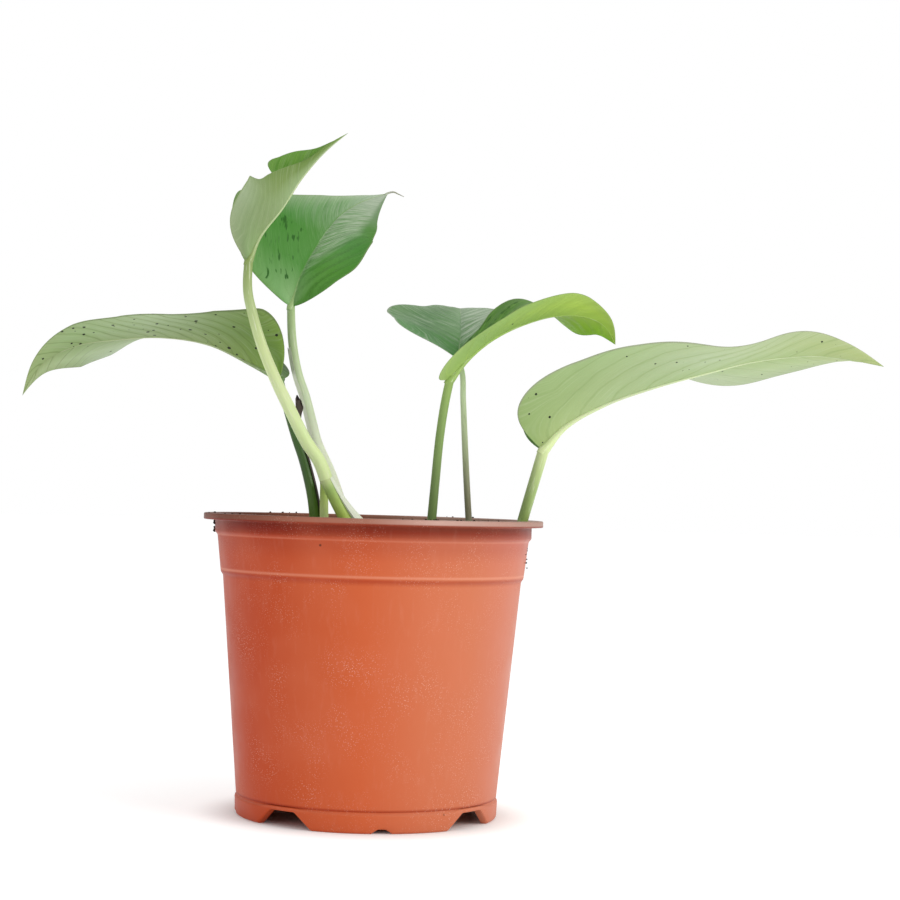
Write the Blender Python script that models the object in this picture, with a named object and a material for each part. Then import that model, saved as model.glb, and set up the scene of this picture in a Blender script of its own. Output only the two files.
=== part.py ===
# Potted pothos: six heart-shaped leaves on long leaf stalks in a thin plastic nursery pot.
# Sizes are in millimetres and become metres where a mesh is made; +Z is up, the front is -Y.
import math

import bpy
import numpy as np

for old in list(bpy.data.objects):
    bpy.data.objects.remove(old, do_unlink=True)

MM = 0.001

# ---- the pot ----
POT_HEIGHT = 131.0
RIM_RADIUS = 75.0
RIM_THICKNESS = 2.8
RIM_OVERHANG = 5.0
NECK_HEIGHT = 5.2
NECK_STEP = 1.2
BAND_LEDGE = 1.4
BAND_HEIGHT = 17.5
BAND_DRAFT = 1.9
BAND_STEP = 1.0
BAND_FOOT_ROUND = 1.2
WALL_TAPER = 8.5
WALL = 1.4
FLOOR_HEIGHT = 8.2
FLOOR_THICKNESS = 1.6
FLOOR_FILLET_WIDTH = 2.0
FLOOR_FILLET_HEIGHT = 2.4
SKIRT_THICKNESS = 2.6
SKIRT_DRAFT = 0.6
FOOT_BULGE = 0.5
FOOT_BEVEL = 2.2
FOOT_BEVEL_HEIGHT = 2.4
FOOT_LEDGE = 1.0
FEET = 4
FOOT_GAP_BEARING = 54.0
FOOT_GAP_HEIGHT = 7.0
FOOT_GAP_TOP_ANGLE = 12.8
FOOT_GAP_BOTTOM_ANGLE = 29.0
NOTCH_HEIGHT = 1.8
NOTCH_TOP_ANGLE = 3.5
NOTCH_BOTTOM_ANGLE = 9.0
DRAIN_HOLES = 8
DRAIN_HOLE_RADIUS = 5.0
DRAIN_RING_INSET = 17.4
POT_SIDES = 64
NECK_RADIUS = RIM_RADIUS - RIM_OVERHANG
BAND_TOP_RADIUS = NECK_RADIUS - NECK_STEP
BAND_FOOT_RADIUS = BAND_TOP_RADIUS - BAND_DRAFT
WALL_TOP_RADIUS = BAND_FOOT_RADIUS - BAND_STEP
WALL_FOOT_RADIUS = WALL_TOP_RADIUS - WALL_TAPER
DRAIN_RING_RADIUS = WALL_FOOT_RADIUS - DRAIN_RING_INSET

# ---- the soil ----
SOIL_BELOW_RIM = 7.5
SOIL_MOUND = 1.5
CLEARANCE = 0.3
SOIL_FILLET_GAP = 0.3

# ---- the plant ----
BLADE_THICKNESS = 0.8
BASE_ROUNDING = 0.16
BLADE_ROWS = 16
BLADE_COLUMNS = 6
WIDTH_STATIONS = (0.0, 0.12, 0.3, 0.5, 0.7, 0.88, 1.0)
ANGLE_STATIONS = (0.0, 0.33, 0.67, 1.0)
STALK_SIDES = 10
STALK_ROWS = 13
STALK_GAP = 0.6
SHEATH_THICKNESS = 0.5
SHEATH_GAP = 0.4
SHEATH_ROWS = 11
BURIED_DEPTH = 14.0
EDGE_SOIL = 2.0
SOCKET_REACH = 9.0

# Where the feet stand in the soil, to the right (+X) and to the back (+Y) of the pot's axis.
# Stalk f stands at the wall, so its place to the right follows from the pot.
FOOT_PLACES = {
    "a": (-7.68, -24.0),
    "b": (-11.52, 8.0),
    "c": (-24.96, -8.96),
    "d": (42.56, 8.0),
    "e": (25.28, -15.04),
    "stub": (-21.12, -14.016),
}
FOOT_F_BACK = -1.024

# Each stalk: points above its own foot, from the soil up (right, back, up), and its radius at
# the soil, halfway and at the blade.
STALKS = {
    "a": {"points": [(-13, 0, 22.7), (-16, 0, 30), (-21, 0, 37), (-29, 0, 51.5), (-36.5, 1, 66),
                     (-42, 2, 78.5), (-47, 3, 93.5), (-49, 4, 101), (-49.5, 6, 113)],
          "radii": (2.9, 2.5, 1.9)},
    "b": {"points": [(0, 0, 0), (-9.5, 4, 25.5), (-16, 8.5, 39), (-19, 11.5, 49), (-22.5, 14.5, 60.5),
                     (-25.5, 16, 68.5), (-28.5, 17, 82), (-30, 17, 98)], "radii": (2.8, 2.4, 1.8)},
    "c": {"points": [(0, 0, 0), (-2, 0, 14), (-4, 1, 22), (-6.5, 3, 30), (-11, 6, 40.5),
                     (-14, 9, 48), (-15.5, 14, 59.5), (-17, 17, 65)], "radii": (2.6, 2.1, 1.7)},
    "d": {"points": [(0, 0, 0), (-2, 0, 24), (-3.5, 0.5, 45), (-4.5, 1, 60), (-5.5, 2, 73),
                     (-7, 3, 77)], "radii": (1.5, 1.4, 1.2)},
    "e": {"points": [(0, 0, 0), (1.5, 0, 23), (3, 0, 43), (5, 1, 58.5), (6.3, 1, 65)],
          "radii": (2.1, 1.9, 1.9)},
    "f": {"points": [(0, 0, 0), (1.7, 0, 7), (6, -2, 23.5), (9.6, -3, 37)], "radii": (2.3, 2.4, 2.5)},
}
STEM_A = {"points": [(0, 0, 0), (-5, 0, 8), (-9.5, 0, 16), (-12.7, 0, 22.3)], "radii": (4.2, 3.7, 3.2)}
STUB_HEIGHT = 22.0
STUB_RADIUS = 1.8

# Each blade: its midrib from the stalk to the tip, measured from the foot of its stalk. Every
# half has its widths along the midrib, its angles out of the rising direction towards "away",
# and how far its basal lobe runs back. "turn" is -1 where the blade grows to the left.
BLADES = {
    "a": {"rib": [(-49.5, 6, 116), (-45.5, 9, 127), (-36.5, 12, 140), (-27.5, 14, 155),
                  (-18.5, 15, 166), (-8.5, 16, 175)],
          "widths": ((12, 22, 30, 15, 4, 1.5), (9, 13, 18, 25, 11, 2.5)),
          "angles": ((-50, -58, -20, -25), (50, 48, 32, 50)), "lobes": (1, 1)},
    "b": {"rib": [(-30, 17, 100.5), (-26, 21, 116), (-18.5, 28, 132), (-9.5, 35, 145.5),
                  (0.5, 39, 152.5), (12, 39, 156.5)],
          "widths": ((11, 26, 41, 35, 11, 2), (13, 18, 24, 23, 20, 13)),
          "angles": ((-25, -22, 5, -14), (220, 206, 200, 210)), "lobes": (0, 0)},
    "c": {"rib": [(-17, 17, 67), (-32.5, 21, 73), (-52, 22, 81.5), (-72, 19, 84), (-92.5, 14, 82),
                  (-109, 9, 78.5), (-124, 6, 69.5), (-131.5, 4, 55.5)], "turn": -1,
          "widths": ((23, 32, 32, 33, 22, 5), (18, 27, 33, 36, 25, 6)),
          "angles": ((-20, -70, -72, -30), (75, 72, 104, 135)), "lobes": (4, 2)},
    "d": {"rib": [(-7.5, 4, 78.5), (-6.5, 22, 88.5), (-6.5, 42, 96.5), (-6.5, 62, 102.5),
                  (-6.5, 77, 106.5), (-6.5, 87, 108.5)], "away": (0, 0, 1),
          "widths": ((24, 31, 34, 34, 20, 11), (18, 28, 33, 30, 19, 9)),
          "angles": ((144, 166, 166, 170), (30, 26, 12, 12)), "lobes": (5, 5)},
    "e": {"rib": [(6.5, 1, 66.5), (12.5, 1, 74.5), (23.5, 1, 84.5), (38.5, 1, 92.5), (52.5, 1, 96.5),
                  (64.5, 1, 96.5), (72.5, 1, 93.5), (78.5, 1, 84.5)],
          "widths": ((6, 9, 17, 21, 17, 5), (10, 13, 17, 27, 26, 7)),
          "angles": ((-35, -65, -66, -25), (65, 54, 82, 145)), "lobes": (5, 5)},
    "f": {"rib": [(10, -3, 38.5), (17, -1, 47.5), (36, 3, 59.5), (59, 7, 68.5), (82, 9, 75.5),
                  (104, 9, 81.5), (132, 7, 84.5), (161, 5, 80.5)],
          "widths": ((34, 28, 33, 36, 30, 10), (22, 31, 38, 36, 20, 13)),
          "angles": ((-18, -56, -77, -15), (47, 59, 113, 72)), "lobes": (4, 4)},
}

# Dry sheaths round three stalks: the heights they cover above the soil, the bearings of their
# two edges round the stalk (0 is the right side, 90 the back) and how far they stand off.
SHEATHS = {
    "a": {"stalk": STEM_A, "heights": (3.4, 21.0), "edges": (-70, 95), "flare": 1.6},
    "b": {"stalk": STALKS["b"], "heights": (2.4, 82.0), "edges": (165, 250), "flare": 0.4},
    "c": {"stalk": STALKS["c"], "heights": (1.6, 50.0), "edges": (-60, 75), "flare": 0.5},
}

LOOKS = {
    "pot": ("C8613C", 0.42),
    "soil": ("2E2219", 0.95),
    "leaf_a": ("97AE78", 0.45),
    "leaf_b": ("4F8F40", 0.32),
    "leaf_c": ("8EA273", 0.5),
    "leaf_d": ("6E9A70", 0.36),
    "leaf_e": ("9CBF59", 0.42),
    "leaf_f": ("B0C493", 0.45),
    "stalk_a": ("C6D49C", 0.4),
    "stalk_b": ("C9D6B0", 0.4),
    "stalk_c": ("3A562A", 0.42),
    "stalk_d": ("A9BC8C", 0.4),
    "stalk_e": ("8FA865", 0.4),
    "stalk_f": ("B4C583", 0.4),
    "stem_a": ("9AAE6E", 0.45),
    "stub": ("D3D8B4", 0.5),
    "sheath_a": ("DDE0CC", 0.6),
    "sheath_b": ("E4E6D6", 0.6),
    "sheath_c": ("3A2A1E", 0.75),
}


def smooth_through(knots, values, at):
    """Cubic curve through every value, each slope taken from the stretches on its two sides."""
    knots = np.asarray(knots, float)
    flat = np.asarray(values, float).reshape(len(knots), -1)
    step = np.diff(knots)
    rise = np.diff(flat, axis=0) / step[:, None]
    slope = np.empty_like(flat)
    before, after = step[:-1, None], step[1:, None]
    slope[1:-1] = (rise[:-1] * after + rise[1:] * before) / (before + after)
    slope[0] = 1.5 * rise[0] - 0.5 * slope[1]
    slope[-1] = 1.5 * rise[-1] - 0.5 * slope[-2]
    piece = np.clip(np.searchsorted(knots, at, side="right") - 1, 0, len(step) - 1)
    s = ((at - knots[piece]) / step[piece])[:, None]
    width = step[piece][:, None]
    result = (2 * s**3 - 3 * s**2 + 1) * flat[piece]
    result += (s**3 - 2 * s**2 + s) * width * slope[piece]
    result += (3 * s**2 - 2 * s**3) * flat[piece + 1]
    result += (s**3 - s**2) * width * slope[piece + 1]
    return result.reshape((len(at),) + np.shape(values)[1:])


def along(points, at):
    """Places and unit directions on the smooth curve through points, at shares of its length."""
    points = np.asarray(points, float)
    spans = np.linalg.norm(np.diff(points, axis=0), axis=1)
    knots = np.concatenate([[0], np.cumsum(spans)]) / spans.sum()
    ahead = smooth_through(knots, points, np.clip(at + 0.001, 0, 1))
    behind = smooth_through(knots, points, np.clip(at - 0.001, 0, 1))
    heading = ahead - behind
    return smooth_through(knots, points, at), heading / np.linalg.norm(heading, axis=1)[:, None]


def across(heading, towards):
    """The unit direction nearest to towards that is square to each heading."""
    towards = np.asarray(towards, float)
    square = towards - (heading @ towards)[:, None] * heading
    return square / np.linalg.norm(square, axis=1)[:, None]


def principled(name, colour, roughness):
    made = bpy.data.materials.new(name)
    made.use_nodes = True
    shader = made.node_tree.nodes["Principled BSDF"]
    parts = [int(colour[i:i + 2], 16) / 255 for i in (0, 2, 4)]
    linear = [c / 12.92 if c <= 0.04045 else ((c + 0.055) / 1.055) ** 2.4 for c in parts]
    shader.inputs["Base Color"].default_value = (*linear, 1)
    shader.inputs["Roughness"].default_value = roughness
    shader.inputs["Metallic"].default_value = 0
    made.diffuse_color = (*linear, 1)
    return made


def add_mesh(name, points, faces):
    """A mesh object from points in millimetres."""
    mesh = bpy.data.meshes.new(name)
    mesh.from_pydata((np.asarray(points) * MM).tolist(), [], faces)
    mesh.validate()
    made = bpy.data.objects.new(name, mesh)
    bpy.context.collection.objects.link(made)
    return made


def finish(made, parent):
    made.data.materials.append(principled(made.name, *LOOKS[made.name]))
    made.data.shade_smooth()
    made.data.set_sharp_from_angle(angle=math.radians(35))
    made.parent = parent


def add_cutter(name, target, points, faces):
    cutter = add_mesh(name, points, faces)
    cutter.hide_render = True
    cutter.display_type = "WIRE"
    cut = target.modifiers.new(name, "BOOLEAN")
    cut.operation = "DIFFERENCE"
    cut.object = cutter
    cut.solver = "EXACT"
    return cutter


def lofted(rings):
    """Points and faces of a closed solid through a stack of rings, each turning anticlockwise."""
    rows, sides = rings.shape[:2]
    faces = [tuple(reversed(range(sides))), tuple(range((rows - 1) * sides, rows * sides))]
    for low in range(0, (rows - 1) * sides, sides):
        high = low + sides
        for i in range(sides):
            j = (i + 1) % sides
            faces.append((low + i, low + j, high + j, high + i))
    return rings.reshape(-1, 3), faces


def turned(profile, sides):
    """Points and faces of a closed profile (radius, height) turned round the upright axis."""
    profile = np.asarray(profile, float)
    angle = np.arange(sides) * 2 * math.pi / sides
    points = np.stack([
        profile[:, 0] * np.sin(angle)[:, None],
        -profile[:, 0] * np.cos(angle)[:, None],
        np.broadcast_to(profile[:, 1], (sides, len(profile))),
    ], axis=-1)
    faces = []
    count = len(profile)
    for i in range(sides):
        left = i * count
        right = (i + 1) % sides * count
        for k in range(count):
            m = (k + 1) % count
            faces.append((left + k, right + k, right + m, left + m))
    return points.reshape(-1, 3), faces


def wall_outline():
    """Outer side of the pot from the ledge above the feet to the underside of the rim."""
    neck_foot = POT_HEIGHT - RIM_THICKNESS - NECK_HEIGHT
    band_top = neck_foot - BAND_LEDGE
    wall_top = band_top - BAND_HEIGHT
    return [
        (WALL_FOOT_RADIUS, FLOOR_HEIGHT + FOOT_LEDGE),
        (WALL_TOP_RADIUS, wall_top),
        (BAND_FOOT_RADIUS, wall_top + BAND_FOOT_ROUND),
        (BAND_TOP_RADIUS, band_top),
        (NECK_RADIUS, neck_foot),
        (NECK_RADIUS, POT_HEIGHT - RIM_THICKNESS),
    ]


def inner_radius(height):
    radii, heights = zip(*wall_outline())
    return float(np.interp(height, heights, radii)) - WALL


def pot_profile():
    outside = wall_outline()
    under_rim = POT_HEIGHT - RIM_THICKNESS
    bore = DRAIN_HOLE_RADIUS
    floor_under = FLOOR_HEIGHT - FLOOR_THICKNESS
    skirt = WALL_FOOT_RADIUS + FOOT_BULGE
    rim_round = RIM_THICKNESS / 4
    lip = NECK_RADIUS - WALL
    foot = [
        (bore, FLOOR_HEIGHT),
        (bore, floor_under),
        (skirt - SKIRT_THICKNESS - SKIRT_DRAFT, floor_under),
        (skirt - SKIRT_THICKNESS - FOOT_BEVEL, 0),
        (skirt - FOOT_BEVEL, 0),
        (skirt - FOOT_BEVEL / 6, FOOT_BEVEL_HEIGHT),
        (skirt, FOOT_BEVEL_HEIGHT * 2),
        (skirt - FOOT_LEDGE / 2, FLOOR_HEIGHT - FOOT_LEDGE / 3),
        (skirt - FOOT_LEDGE, FLOOR_HEIGHT + FOOT_LEDGE / 5),
    ]
    rim = [
        (RIM_RADIUS - rim_round, under_rim),
        (RIM_RADIUS, under_rim + rim_round),
        (RIM_RADIUS, POT_HEIGHT - rim_round),
        (RIM_RADIUS - rim_round, POT_HEIGHT),
        (lip + rim_round, POT_HEIGHT),
        (lip, POT_HEIGHT - rim_round),
    ]
    inside = [(radius - WALL, height) for radius, height in reversed(outside[:-1])]
    inside[-1] = (inside[-1][0], FLOOR_HEIGHT + FLOOR_FILLET_HEIGHT)
    corner = [(inside[-1][0] - FLOOR_FILLET_WIDTH, FLOOR_HEIGHT)]
    return foot + outside + rim + inside + corner


def wedge(bearing, low_angle, high_angle, near, far, bottom, top):
    """A block round the axis whose ends lean in, from one radius to another."""
    points = []
    for radius in (near, far):
        for half, height in ((low_angle / 2, bottom), (high_angle / 2, top)):
            for side in (-1, 1):
                angle = math.radians(bearing + side * half)
                points.append((radius * math.sin(angle), -radius * math.cos(angle), height))
    faces = [(0, 2, 3, 1), (4, 5, 7, 6), (0, 1, 5, 4), (2, 6, 7, 3), (0, 4, 6, 2), (1, 3, 7, 5)]
    return points, faces


def joined(shapes):
    """Several closed shapes as one list of points and one of faces."""
    points = []
    faces = []
    for shape_points, shape_faces in shapes:
        faces += [tuple(i + len(points) for i in face) for face in shape_faces]
        points += [tuple(point) for point in shape_points]
    return points, faces


def build_pot(parent):
    """The turned pot, with gaps between its feet, a notch under each foot, and drain holes."""
    pot = add_mesh("pot", *turned(pot_profile(), POT_SIDES))
    past = 2.0
    inside = WALL_FOOT_RADIUS + FOOT_BULGE - SKIRT_THICKNESS - FOOT_BEVEL - past
    outside = WALL_FOOT_RADIUS + FOOT_BULGE + past
    slope = (FOOT_GAP_BOTTOM_ANGLE - FOOT_GAP_TOP_ANGLE) / FOOT_GAP_HEIGHT
    notch_slope = (NOTCH_BOTTOM_ANGLE - NOTCH_TOP_ANGLE) / NOTCH_HEIGHT
    shapes = []
    for i in range(FEET):
        bearing = FOOT_GAP_BEARING + 360 / FEET * i
        shapes.append(wedge(bearing, FOOT_GAP_BOTTOM_ANGLE + slope, FOOT_GAP_TOP_ANGLE,
                            inside, outside, -1, FOOT_GAP_HEIGHT))
        shapes.append(wedge(bearing + 180 / FEET, NOTCH_BOTTOM_ANGLE + notch_slope, NOTCH_TOP_ANGLE,
                            inside, outside, -1, NOTCH_HEIGHT))
    around = np.arange(16) * 2 * math.pi / 16
    for i in range(DRAIN_HOLES):
        bearing = 2 * math.pi * (i + 0.5) / DRAIN_HOLES
        centre = (DRAIN_RING_RADIUS * math.sin(bearing), -DRAIN_RING_RADIUS * math.cos(bearing))
        ring = np.stack([centre[0] + DRAIN_HOLE_RADIUS * np.cos(around),
                         centre[1] + DRAIN_HOLE_RADIUS * np.sin(around), np.zeros(16)], axis=-1)
        low = FLOOR_HEIGHT - FLOOR_THICKNESS - 1
        shapes.append(lofted(np.stack([ring + (0, 0, low), ring + (0, 0, FLOOR_HEIGHT + 1)])))
    cutter = add_cutter("pot_openings", pot, *joined(shapes))
    finish(pot, parent)
    cutter.parent = parent


def soil_height(radius):
    """The soil is a little higher in the middle than at the wall."""
    edge = inner_radius(POT_HEIGHT - SOIL_BELOW_RIM) - CLEARANCE
    return POT_HEIGHT - SOIL_BELOW_RIM + SOIL_MOUND * (1 - min(radius / edge, 1) ** 2)


def foot_of(name):
    """Where a stalk leaves the soil, on the soil's surface."""
    edge = inner_radius(POT_HEIGHT - SOIL_BELOW_RIM) - CLEARANCE
    at_wall = (edge - EDGE_SOIL - STALKS["f"]["radii"][0], FOOT_F_BACK)
    x, y = at_wall if name == "f" else FOOT_PLACES[name]
    return np.array([x, y, soil_height(math.hypot(x, y))])


def stalk_rings(points, radii, at, spread=0.0):
    """Circles at shares of the smooth curve through points, their radius read from radii along it."""
    centre, heading = along(points, at)
    radius = smooth_through((0, 0.5, 1), radii, at) + spread
    back = across(heading, (0, 1, 0))
    right = np.cross(back, heading)
    angle = np.arange(STALK_SIDES) * 2 * math.pi / STALK_SIDES
    out = np.cos(angle)[None, :, None] * right[:, None] + np.sin(angle)[None, :, None] * back[:, None]
    return centre[:, None] + radius[:, None, None] * out


def rooted(rings, depth):
    """The rings with a straight end below them, in line with the way that they start."""
    heading = rings[1].mean(axis=0) - rings[0].mean(axis=0)
    return np.concatenate([[rings[0] - heading / np.linalg.norm(heading) * depth], rings])


def bury(name, soil, foot, points, radii):
    """Cuts the socket that a buried end stands in."""
    length = np.linalg.norm(np.diff(np.asarray(points, float), axis=0), axis=1).sum()
    at = np.linspace(0, SOCKET_REACH / length, 3)
    rings = rooted(stalk_rings(points, radii, at, spread=CLEARANCE), BURIED_DEPTH + CLEARANCE)
    points_of, faces = lofted(rings + foot)
    return add_cutter("socket_" + name, soil, points_of, faces)


def blade_half(blade, side, at, out):
    """Grid over one half of a blade: at runs along the midrib, out from it to the margin."""
    centre, heading = along(blade["rib"], at)
    away = across(heading, blade.get("away", (0, 1, 0)))
    rising = np.cross(heading, away) * blade.get("turn", 1)
    left = 1 - np.clip(at / BASE_ROUNDING, 0, 1)
    width = smooth_through(WIDTH_STATIONS, (*blade["widths"][side], 0), at) * np.sqrt(1 - left**2)
    angle = np.radians(smooth_through(ANGLE_STATIONS, blade["angles"][side], at))
    back = -blade["lobes"][side] * np.sin(math.pi * left)
    reach = np.cos(angle)[:, None] * rising + np.sin(angle)[:, None] * away
    step = width[:, None] * reach + back[:, None] * heading
    return centre[:, None] + out[None, :, None] * step[:, None]


def blade_shape(blade):
    """A lens-like solid: two sheets that meet along the margin, with a point at each end."""
    at = np.linspace(0, 1, BLADE_ROWS) ** 1.25
    out = np.linspace(0, 1, BLADE_COLUMNS)
    first = blade_half(blade, 0, at, out)
    second = blade_half(blade, 1, at, out)
    sheet = np.concatenate([second[:, :0:-1], first], axis=1)[1:-1]
    ends = (first[0, 0], first[-1, 0])
    rows, columns = sheet.shape[:2]
    with_ends = np.concatenate([[np.broadcast_to(ends[0], sheet[0].shape)], sheet,
                                [np.broadcast_to(ends[1], sheet[0].shape)]])
    forward = with_ends[2:] - with_ends[:-2]
    sideways = np.gradient(sheet, axis=1)
    normal = np.cross(forward, sideways)
    normal /= np.linalg.norm(normal, axis=2)[..., None]
    share = np.abs(np.linspace(-1, 1, columns))
    span = np.linalg.norm(sheet[:, 0] - sheet[:, columns // 2], axis=1)
    span = np.minimum(span, np.linalg.norm(sheet[:, -1] - sheet[:, columns // 2], axis=1))
    half = BLADE_THICKNESS / 2 * np.minimum(1, span / 8)[:, None] * np.sqrt(1 - share**2)
    upper = sheet + normal * half[..., None]
    lower = sheet - normal * half[..., None]
    points = np.concatenate([upper.reshape(-1, 3), lower[:, 1:-1].reshape(-1, 3), [ends[0], ends[1]]])
    start, end = len(points) - 2, len(points) - 1
    first_lower = rows * columns

    def top(row, column):
        return row * columns + column

    def bottom(row, column):
        if column in (0, columns - 1):
            return top(row, column)
        return first_lower + row * (columns - 2) + column - 1

    faces = []
    for column in range(columns - 1):
        for row in range(rows - 1):
            faces.append((top(row, column), top(row + 1, column),
                          top(row + 1, column + 1), top(row, column + 1)))
            faces.append((bottom(row, column), bottom(row, column + 1),
                          bottom(row + 1, column + 1), bottom(row + 1, column)))
        faces.append((start, top(0, column), top(0, column + 1)))
        faces.append((start, bottom(0, column + 1), bottom(0, column)))
        faces.append((end, top(rows - 1, column + 1), top(rows - 1, column)))
        faces.append((end, bottom(rows - 1, column), bottom(rows - 1, column + 1)))
    return points, faces


def sheath_rings(stalk, heights, edges, flare):
    """C-shaped cross-sections round a stalk, standing off it a little more towards the top."""
    at = np.linspace(0, 1, 200)
    centre, heading = along(stalk["points"], at)
    shares = np.interp(np.linspace(*heights, SHEATH_ROWS), centre[:, 2], at)
    centre, heading = along(stalk["points"], shares)
    radius = smooth_through((0, 0.5, 1), stalk["radii"], shares) + SHEATH_GAP
    radius += flare * np.linspace(0, 1, SHEATH_ROWS)
    back = across(heading, (0, 1, 0))
    right = np.cross(back, heading)
    angle = np.radians(np.linspace(*edges, 7))
    outer = np.cos(angle)[None, :, None] * right[:, None] + np.sin(angle)[None, :, None] * back[:, None]
    inner = outer[:, ::-1]
    return np.concatenate([centre[:, None] + (radius + SHEATH_THICKNESS)[:, None, None] * outer,
                           centre[:, None] + radius[:, None, None] * inner], axis=1)


def build_soil():
    """One turned solid inside the pot's wall, closed by a flat face below and a small one on top."""
    bottom = FLOOR_HEIGHT + CLEARANCE
    top = POT_HEIGHT - SOIL_BELOW_RIM
    fillet_top = FLOOR_HEIGHT + FLOOR_FILLET_HEIGHT + SOIL_FILLET_GAP
    heights = [fillet_top] + [h for _, h in wall_outline()[1:] if h < top] + [top]
    wall = [(inner_radius(h) - CLEARANCE, h) for h in heights]
    edge = wall[-1][0]
    surface = [(edge * share, soil_height(edge * share)) for share in (0.75, 0.45, 0.15)]
    profile = [(wall[0][0] - FLOOR_FILLET_WIDTH - SOIL_FILLET_GAP, bottom)] + wall + surface
    points, faces = turned(profile, POT_SIDES)
    last = len(profile) - 1
    ends = {0, last}
    sides = [face for face in faces if {face[0] % len(profile), face[2] % len(profile)} != ends]
    low_ring = [i * len(profile) for i in range(POT_SIDES)]
    high_ring = [i + last for i in low_ring]
    return add_mesh("soil", points, sides + [tuple(reversed(low_ring)), tuple(high_ring)])


def build_plant(parent, soil):
    """Stalks, blades, the stem and the stub, each buried end in a socket of the soil."""
    rows = np.linspace(0, 1, STALK_ROWS)
    for name, stalk in STALKS.items():
        foot = foot_of(name)
        points = list(stalk["points"])
        start = np.array(BLADES[name]["rib"][0], float)
        last = np.array(points[-1], float)
        towards = (start - last) / np.linalg.norm(start - last)
        points[-1] = tuple(start - towards * STALK_GAP)
        rings = stalk_rings(points, stalk["radii"], rows)
        if name == "a":
            stem_rings = rooted(stalk_rings(STEM_A["points"], STEM_A["radii"], rows[::2]), BURIED_DEPTH)
            stem = add_mesh("stem_a", *lofted(stem_rings + foot))
            finish(stem, parent)
            bury("a", soil, foot, STEM_A["points"], STEM_A["radii"]).parent = parent
        else:
            rings = rooted(rings, BURIED_DEPTH)
            bury(name, soil, foot, points, stalk["radii"]).parent = parent
        finish(add_mesh("stalk_" + name, *lofted(rings + foot)), parent)
        points_of, faces = blade_shape(BLADES[name])
        finish(add_mesh("leaf_" + name, points_of + foot, faces), parent)
    stub = {"points": [(0, 0, 0), (-0.4, 0, STUB_HEIGHT / 2), (-0.6, 0, STUB_HEIGHT)],
            "radii": (STUB_RADIUS, STUB_RADIUS, STUB_RADIUS)}
    foot = foot_of("stub")
    stub_rings = rooted(stalk_rings(stub["points"], stub["radii"], rows[::2]), BURIED_DEPTH)
    finish(add_mesh("stub", *lofted(stub_rings + foot)), parent)
    bury("stub", soil, foot, stub["points"], stub["radii"]).parent = parent
    for name, sheath in SHEATHS.items():
        rings = sheath_rings(sheath["stalk"], sheath["heights"], sheath["edges"], sheath["flare"])
        finish(add_mesh("sheath_" + name, *lofted(rings + foot_of(name))), parent)


def centre_on_box(base):
    """Moves the whole plant so that the middle of its box stands over the origin."""
    bpy.context.view_layer.update()
    corners = []
    for made in bpy.data.objects:
        if made.type == "MESH" and not made.hide_render:
            corners += [made.matrix_world @ vertex.co for vertex in made.data.vertices]
    places = np.array(corners)
    middle = (places.min(axis=0) + places.max(axis=0)) / 2
    base.location = (-middle[0], -middle[1], 0)


base = bpy.data.objects.new("base", None)
bpy.context.collection.objects.link(base)
build_pot(base)
soil_block = build_soil()
build_plant(base, soil_block)
finish(soil_block, base)
centre_on_box(base)
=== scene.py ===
# A young pothos with six leaves in a terracotta coloured nursery pot.
# Lengths in the dictionaries are millimetres; meshes are in metres, +Z up, the front is -Y.
import math
from functools import partial

import bpy
import bmesh
import numpy as np
from mathutils import Matrix, Vector


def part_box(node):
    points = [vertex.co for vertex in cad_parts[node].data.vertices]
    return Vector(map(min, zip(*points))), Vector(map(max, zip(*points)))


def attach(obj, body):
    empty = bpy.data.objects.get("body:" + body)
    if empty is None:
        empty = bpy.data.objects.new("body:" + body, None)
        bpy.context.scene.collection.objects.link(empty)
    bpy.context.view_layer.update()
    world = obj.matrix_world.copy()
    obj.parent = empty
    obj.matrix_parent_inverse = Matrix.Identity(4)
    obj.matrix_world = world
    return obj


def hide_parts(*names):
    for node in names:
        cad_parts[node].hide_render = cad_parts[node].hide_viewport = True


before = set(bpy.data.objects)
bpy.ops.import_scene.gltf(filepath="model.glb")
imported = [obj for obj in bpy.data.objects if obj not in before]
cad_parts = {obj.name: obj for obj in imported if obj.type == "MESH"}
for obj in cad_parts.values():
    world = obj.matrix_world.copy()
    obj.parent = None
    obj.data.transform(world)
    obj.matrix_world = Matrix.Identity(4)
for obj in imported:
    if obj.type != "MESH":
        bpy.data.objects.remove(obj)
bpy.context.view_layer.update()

potLow, potHigh = (np.array(corner) * 1000 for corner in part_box("pot"))
potAxis = np.array([(potLow[0] + potHigh[0]) / 2, (potLow[1] + potHigh[1]) / 2, 0.0])
rng = np.random.default_rng(7)


# small tools

def toLinear(hexColour):
    # sRGB hex to linear red, green, blue
    parts = np.array([int(hexColour[i:i + 2], 16) for i in (0, 2, 4)]) / 255
    return np.where(parts <= 0.04045, parts / 12.92, ((parts + 0.055) / 1.055) ** 2.4)


def rgba(hexColour):
    return (*toLinear(hexColour).tolist(), 1.0)


def connect(node, values, links):
    # sets sockets to values and links others, each from a socket or from the first output that a node has in
    # use
    for socket, value in values.items():
        node.inputs[socket].default_value = value
    for socket, source in links.items():
        if isinstance(source, bpy.types.Node):
            source = next(output for output in source.outputs if output.enabled)
        node.id_data.links.new(source, node.inputs[socket])


def addNode(tree, kind, values=None, links=None, stops=None, **settings):
    # one node; in a colour Mix, socket 0 is the share of 7 that lies over 6
    node = tree.nodes.new("ShaderNode" + kind)
    for name, value in settings.items():
        setattr(node, name, value)
    connect(node, values or {}, links or {})
    if stops:
        ramp = node.color_ramp
        while len(ramp.elements) < len(stops):
            ramp.elements.new(0.5)
        for element, (place, colour) in zip(ramp.elements, stops):
            element.position = place
            element.color = rgba(colour)
    return node


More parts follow.
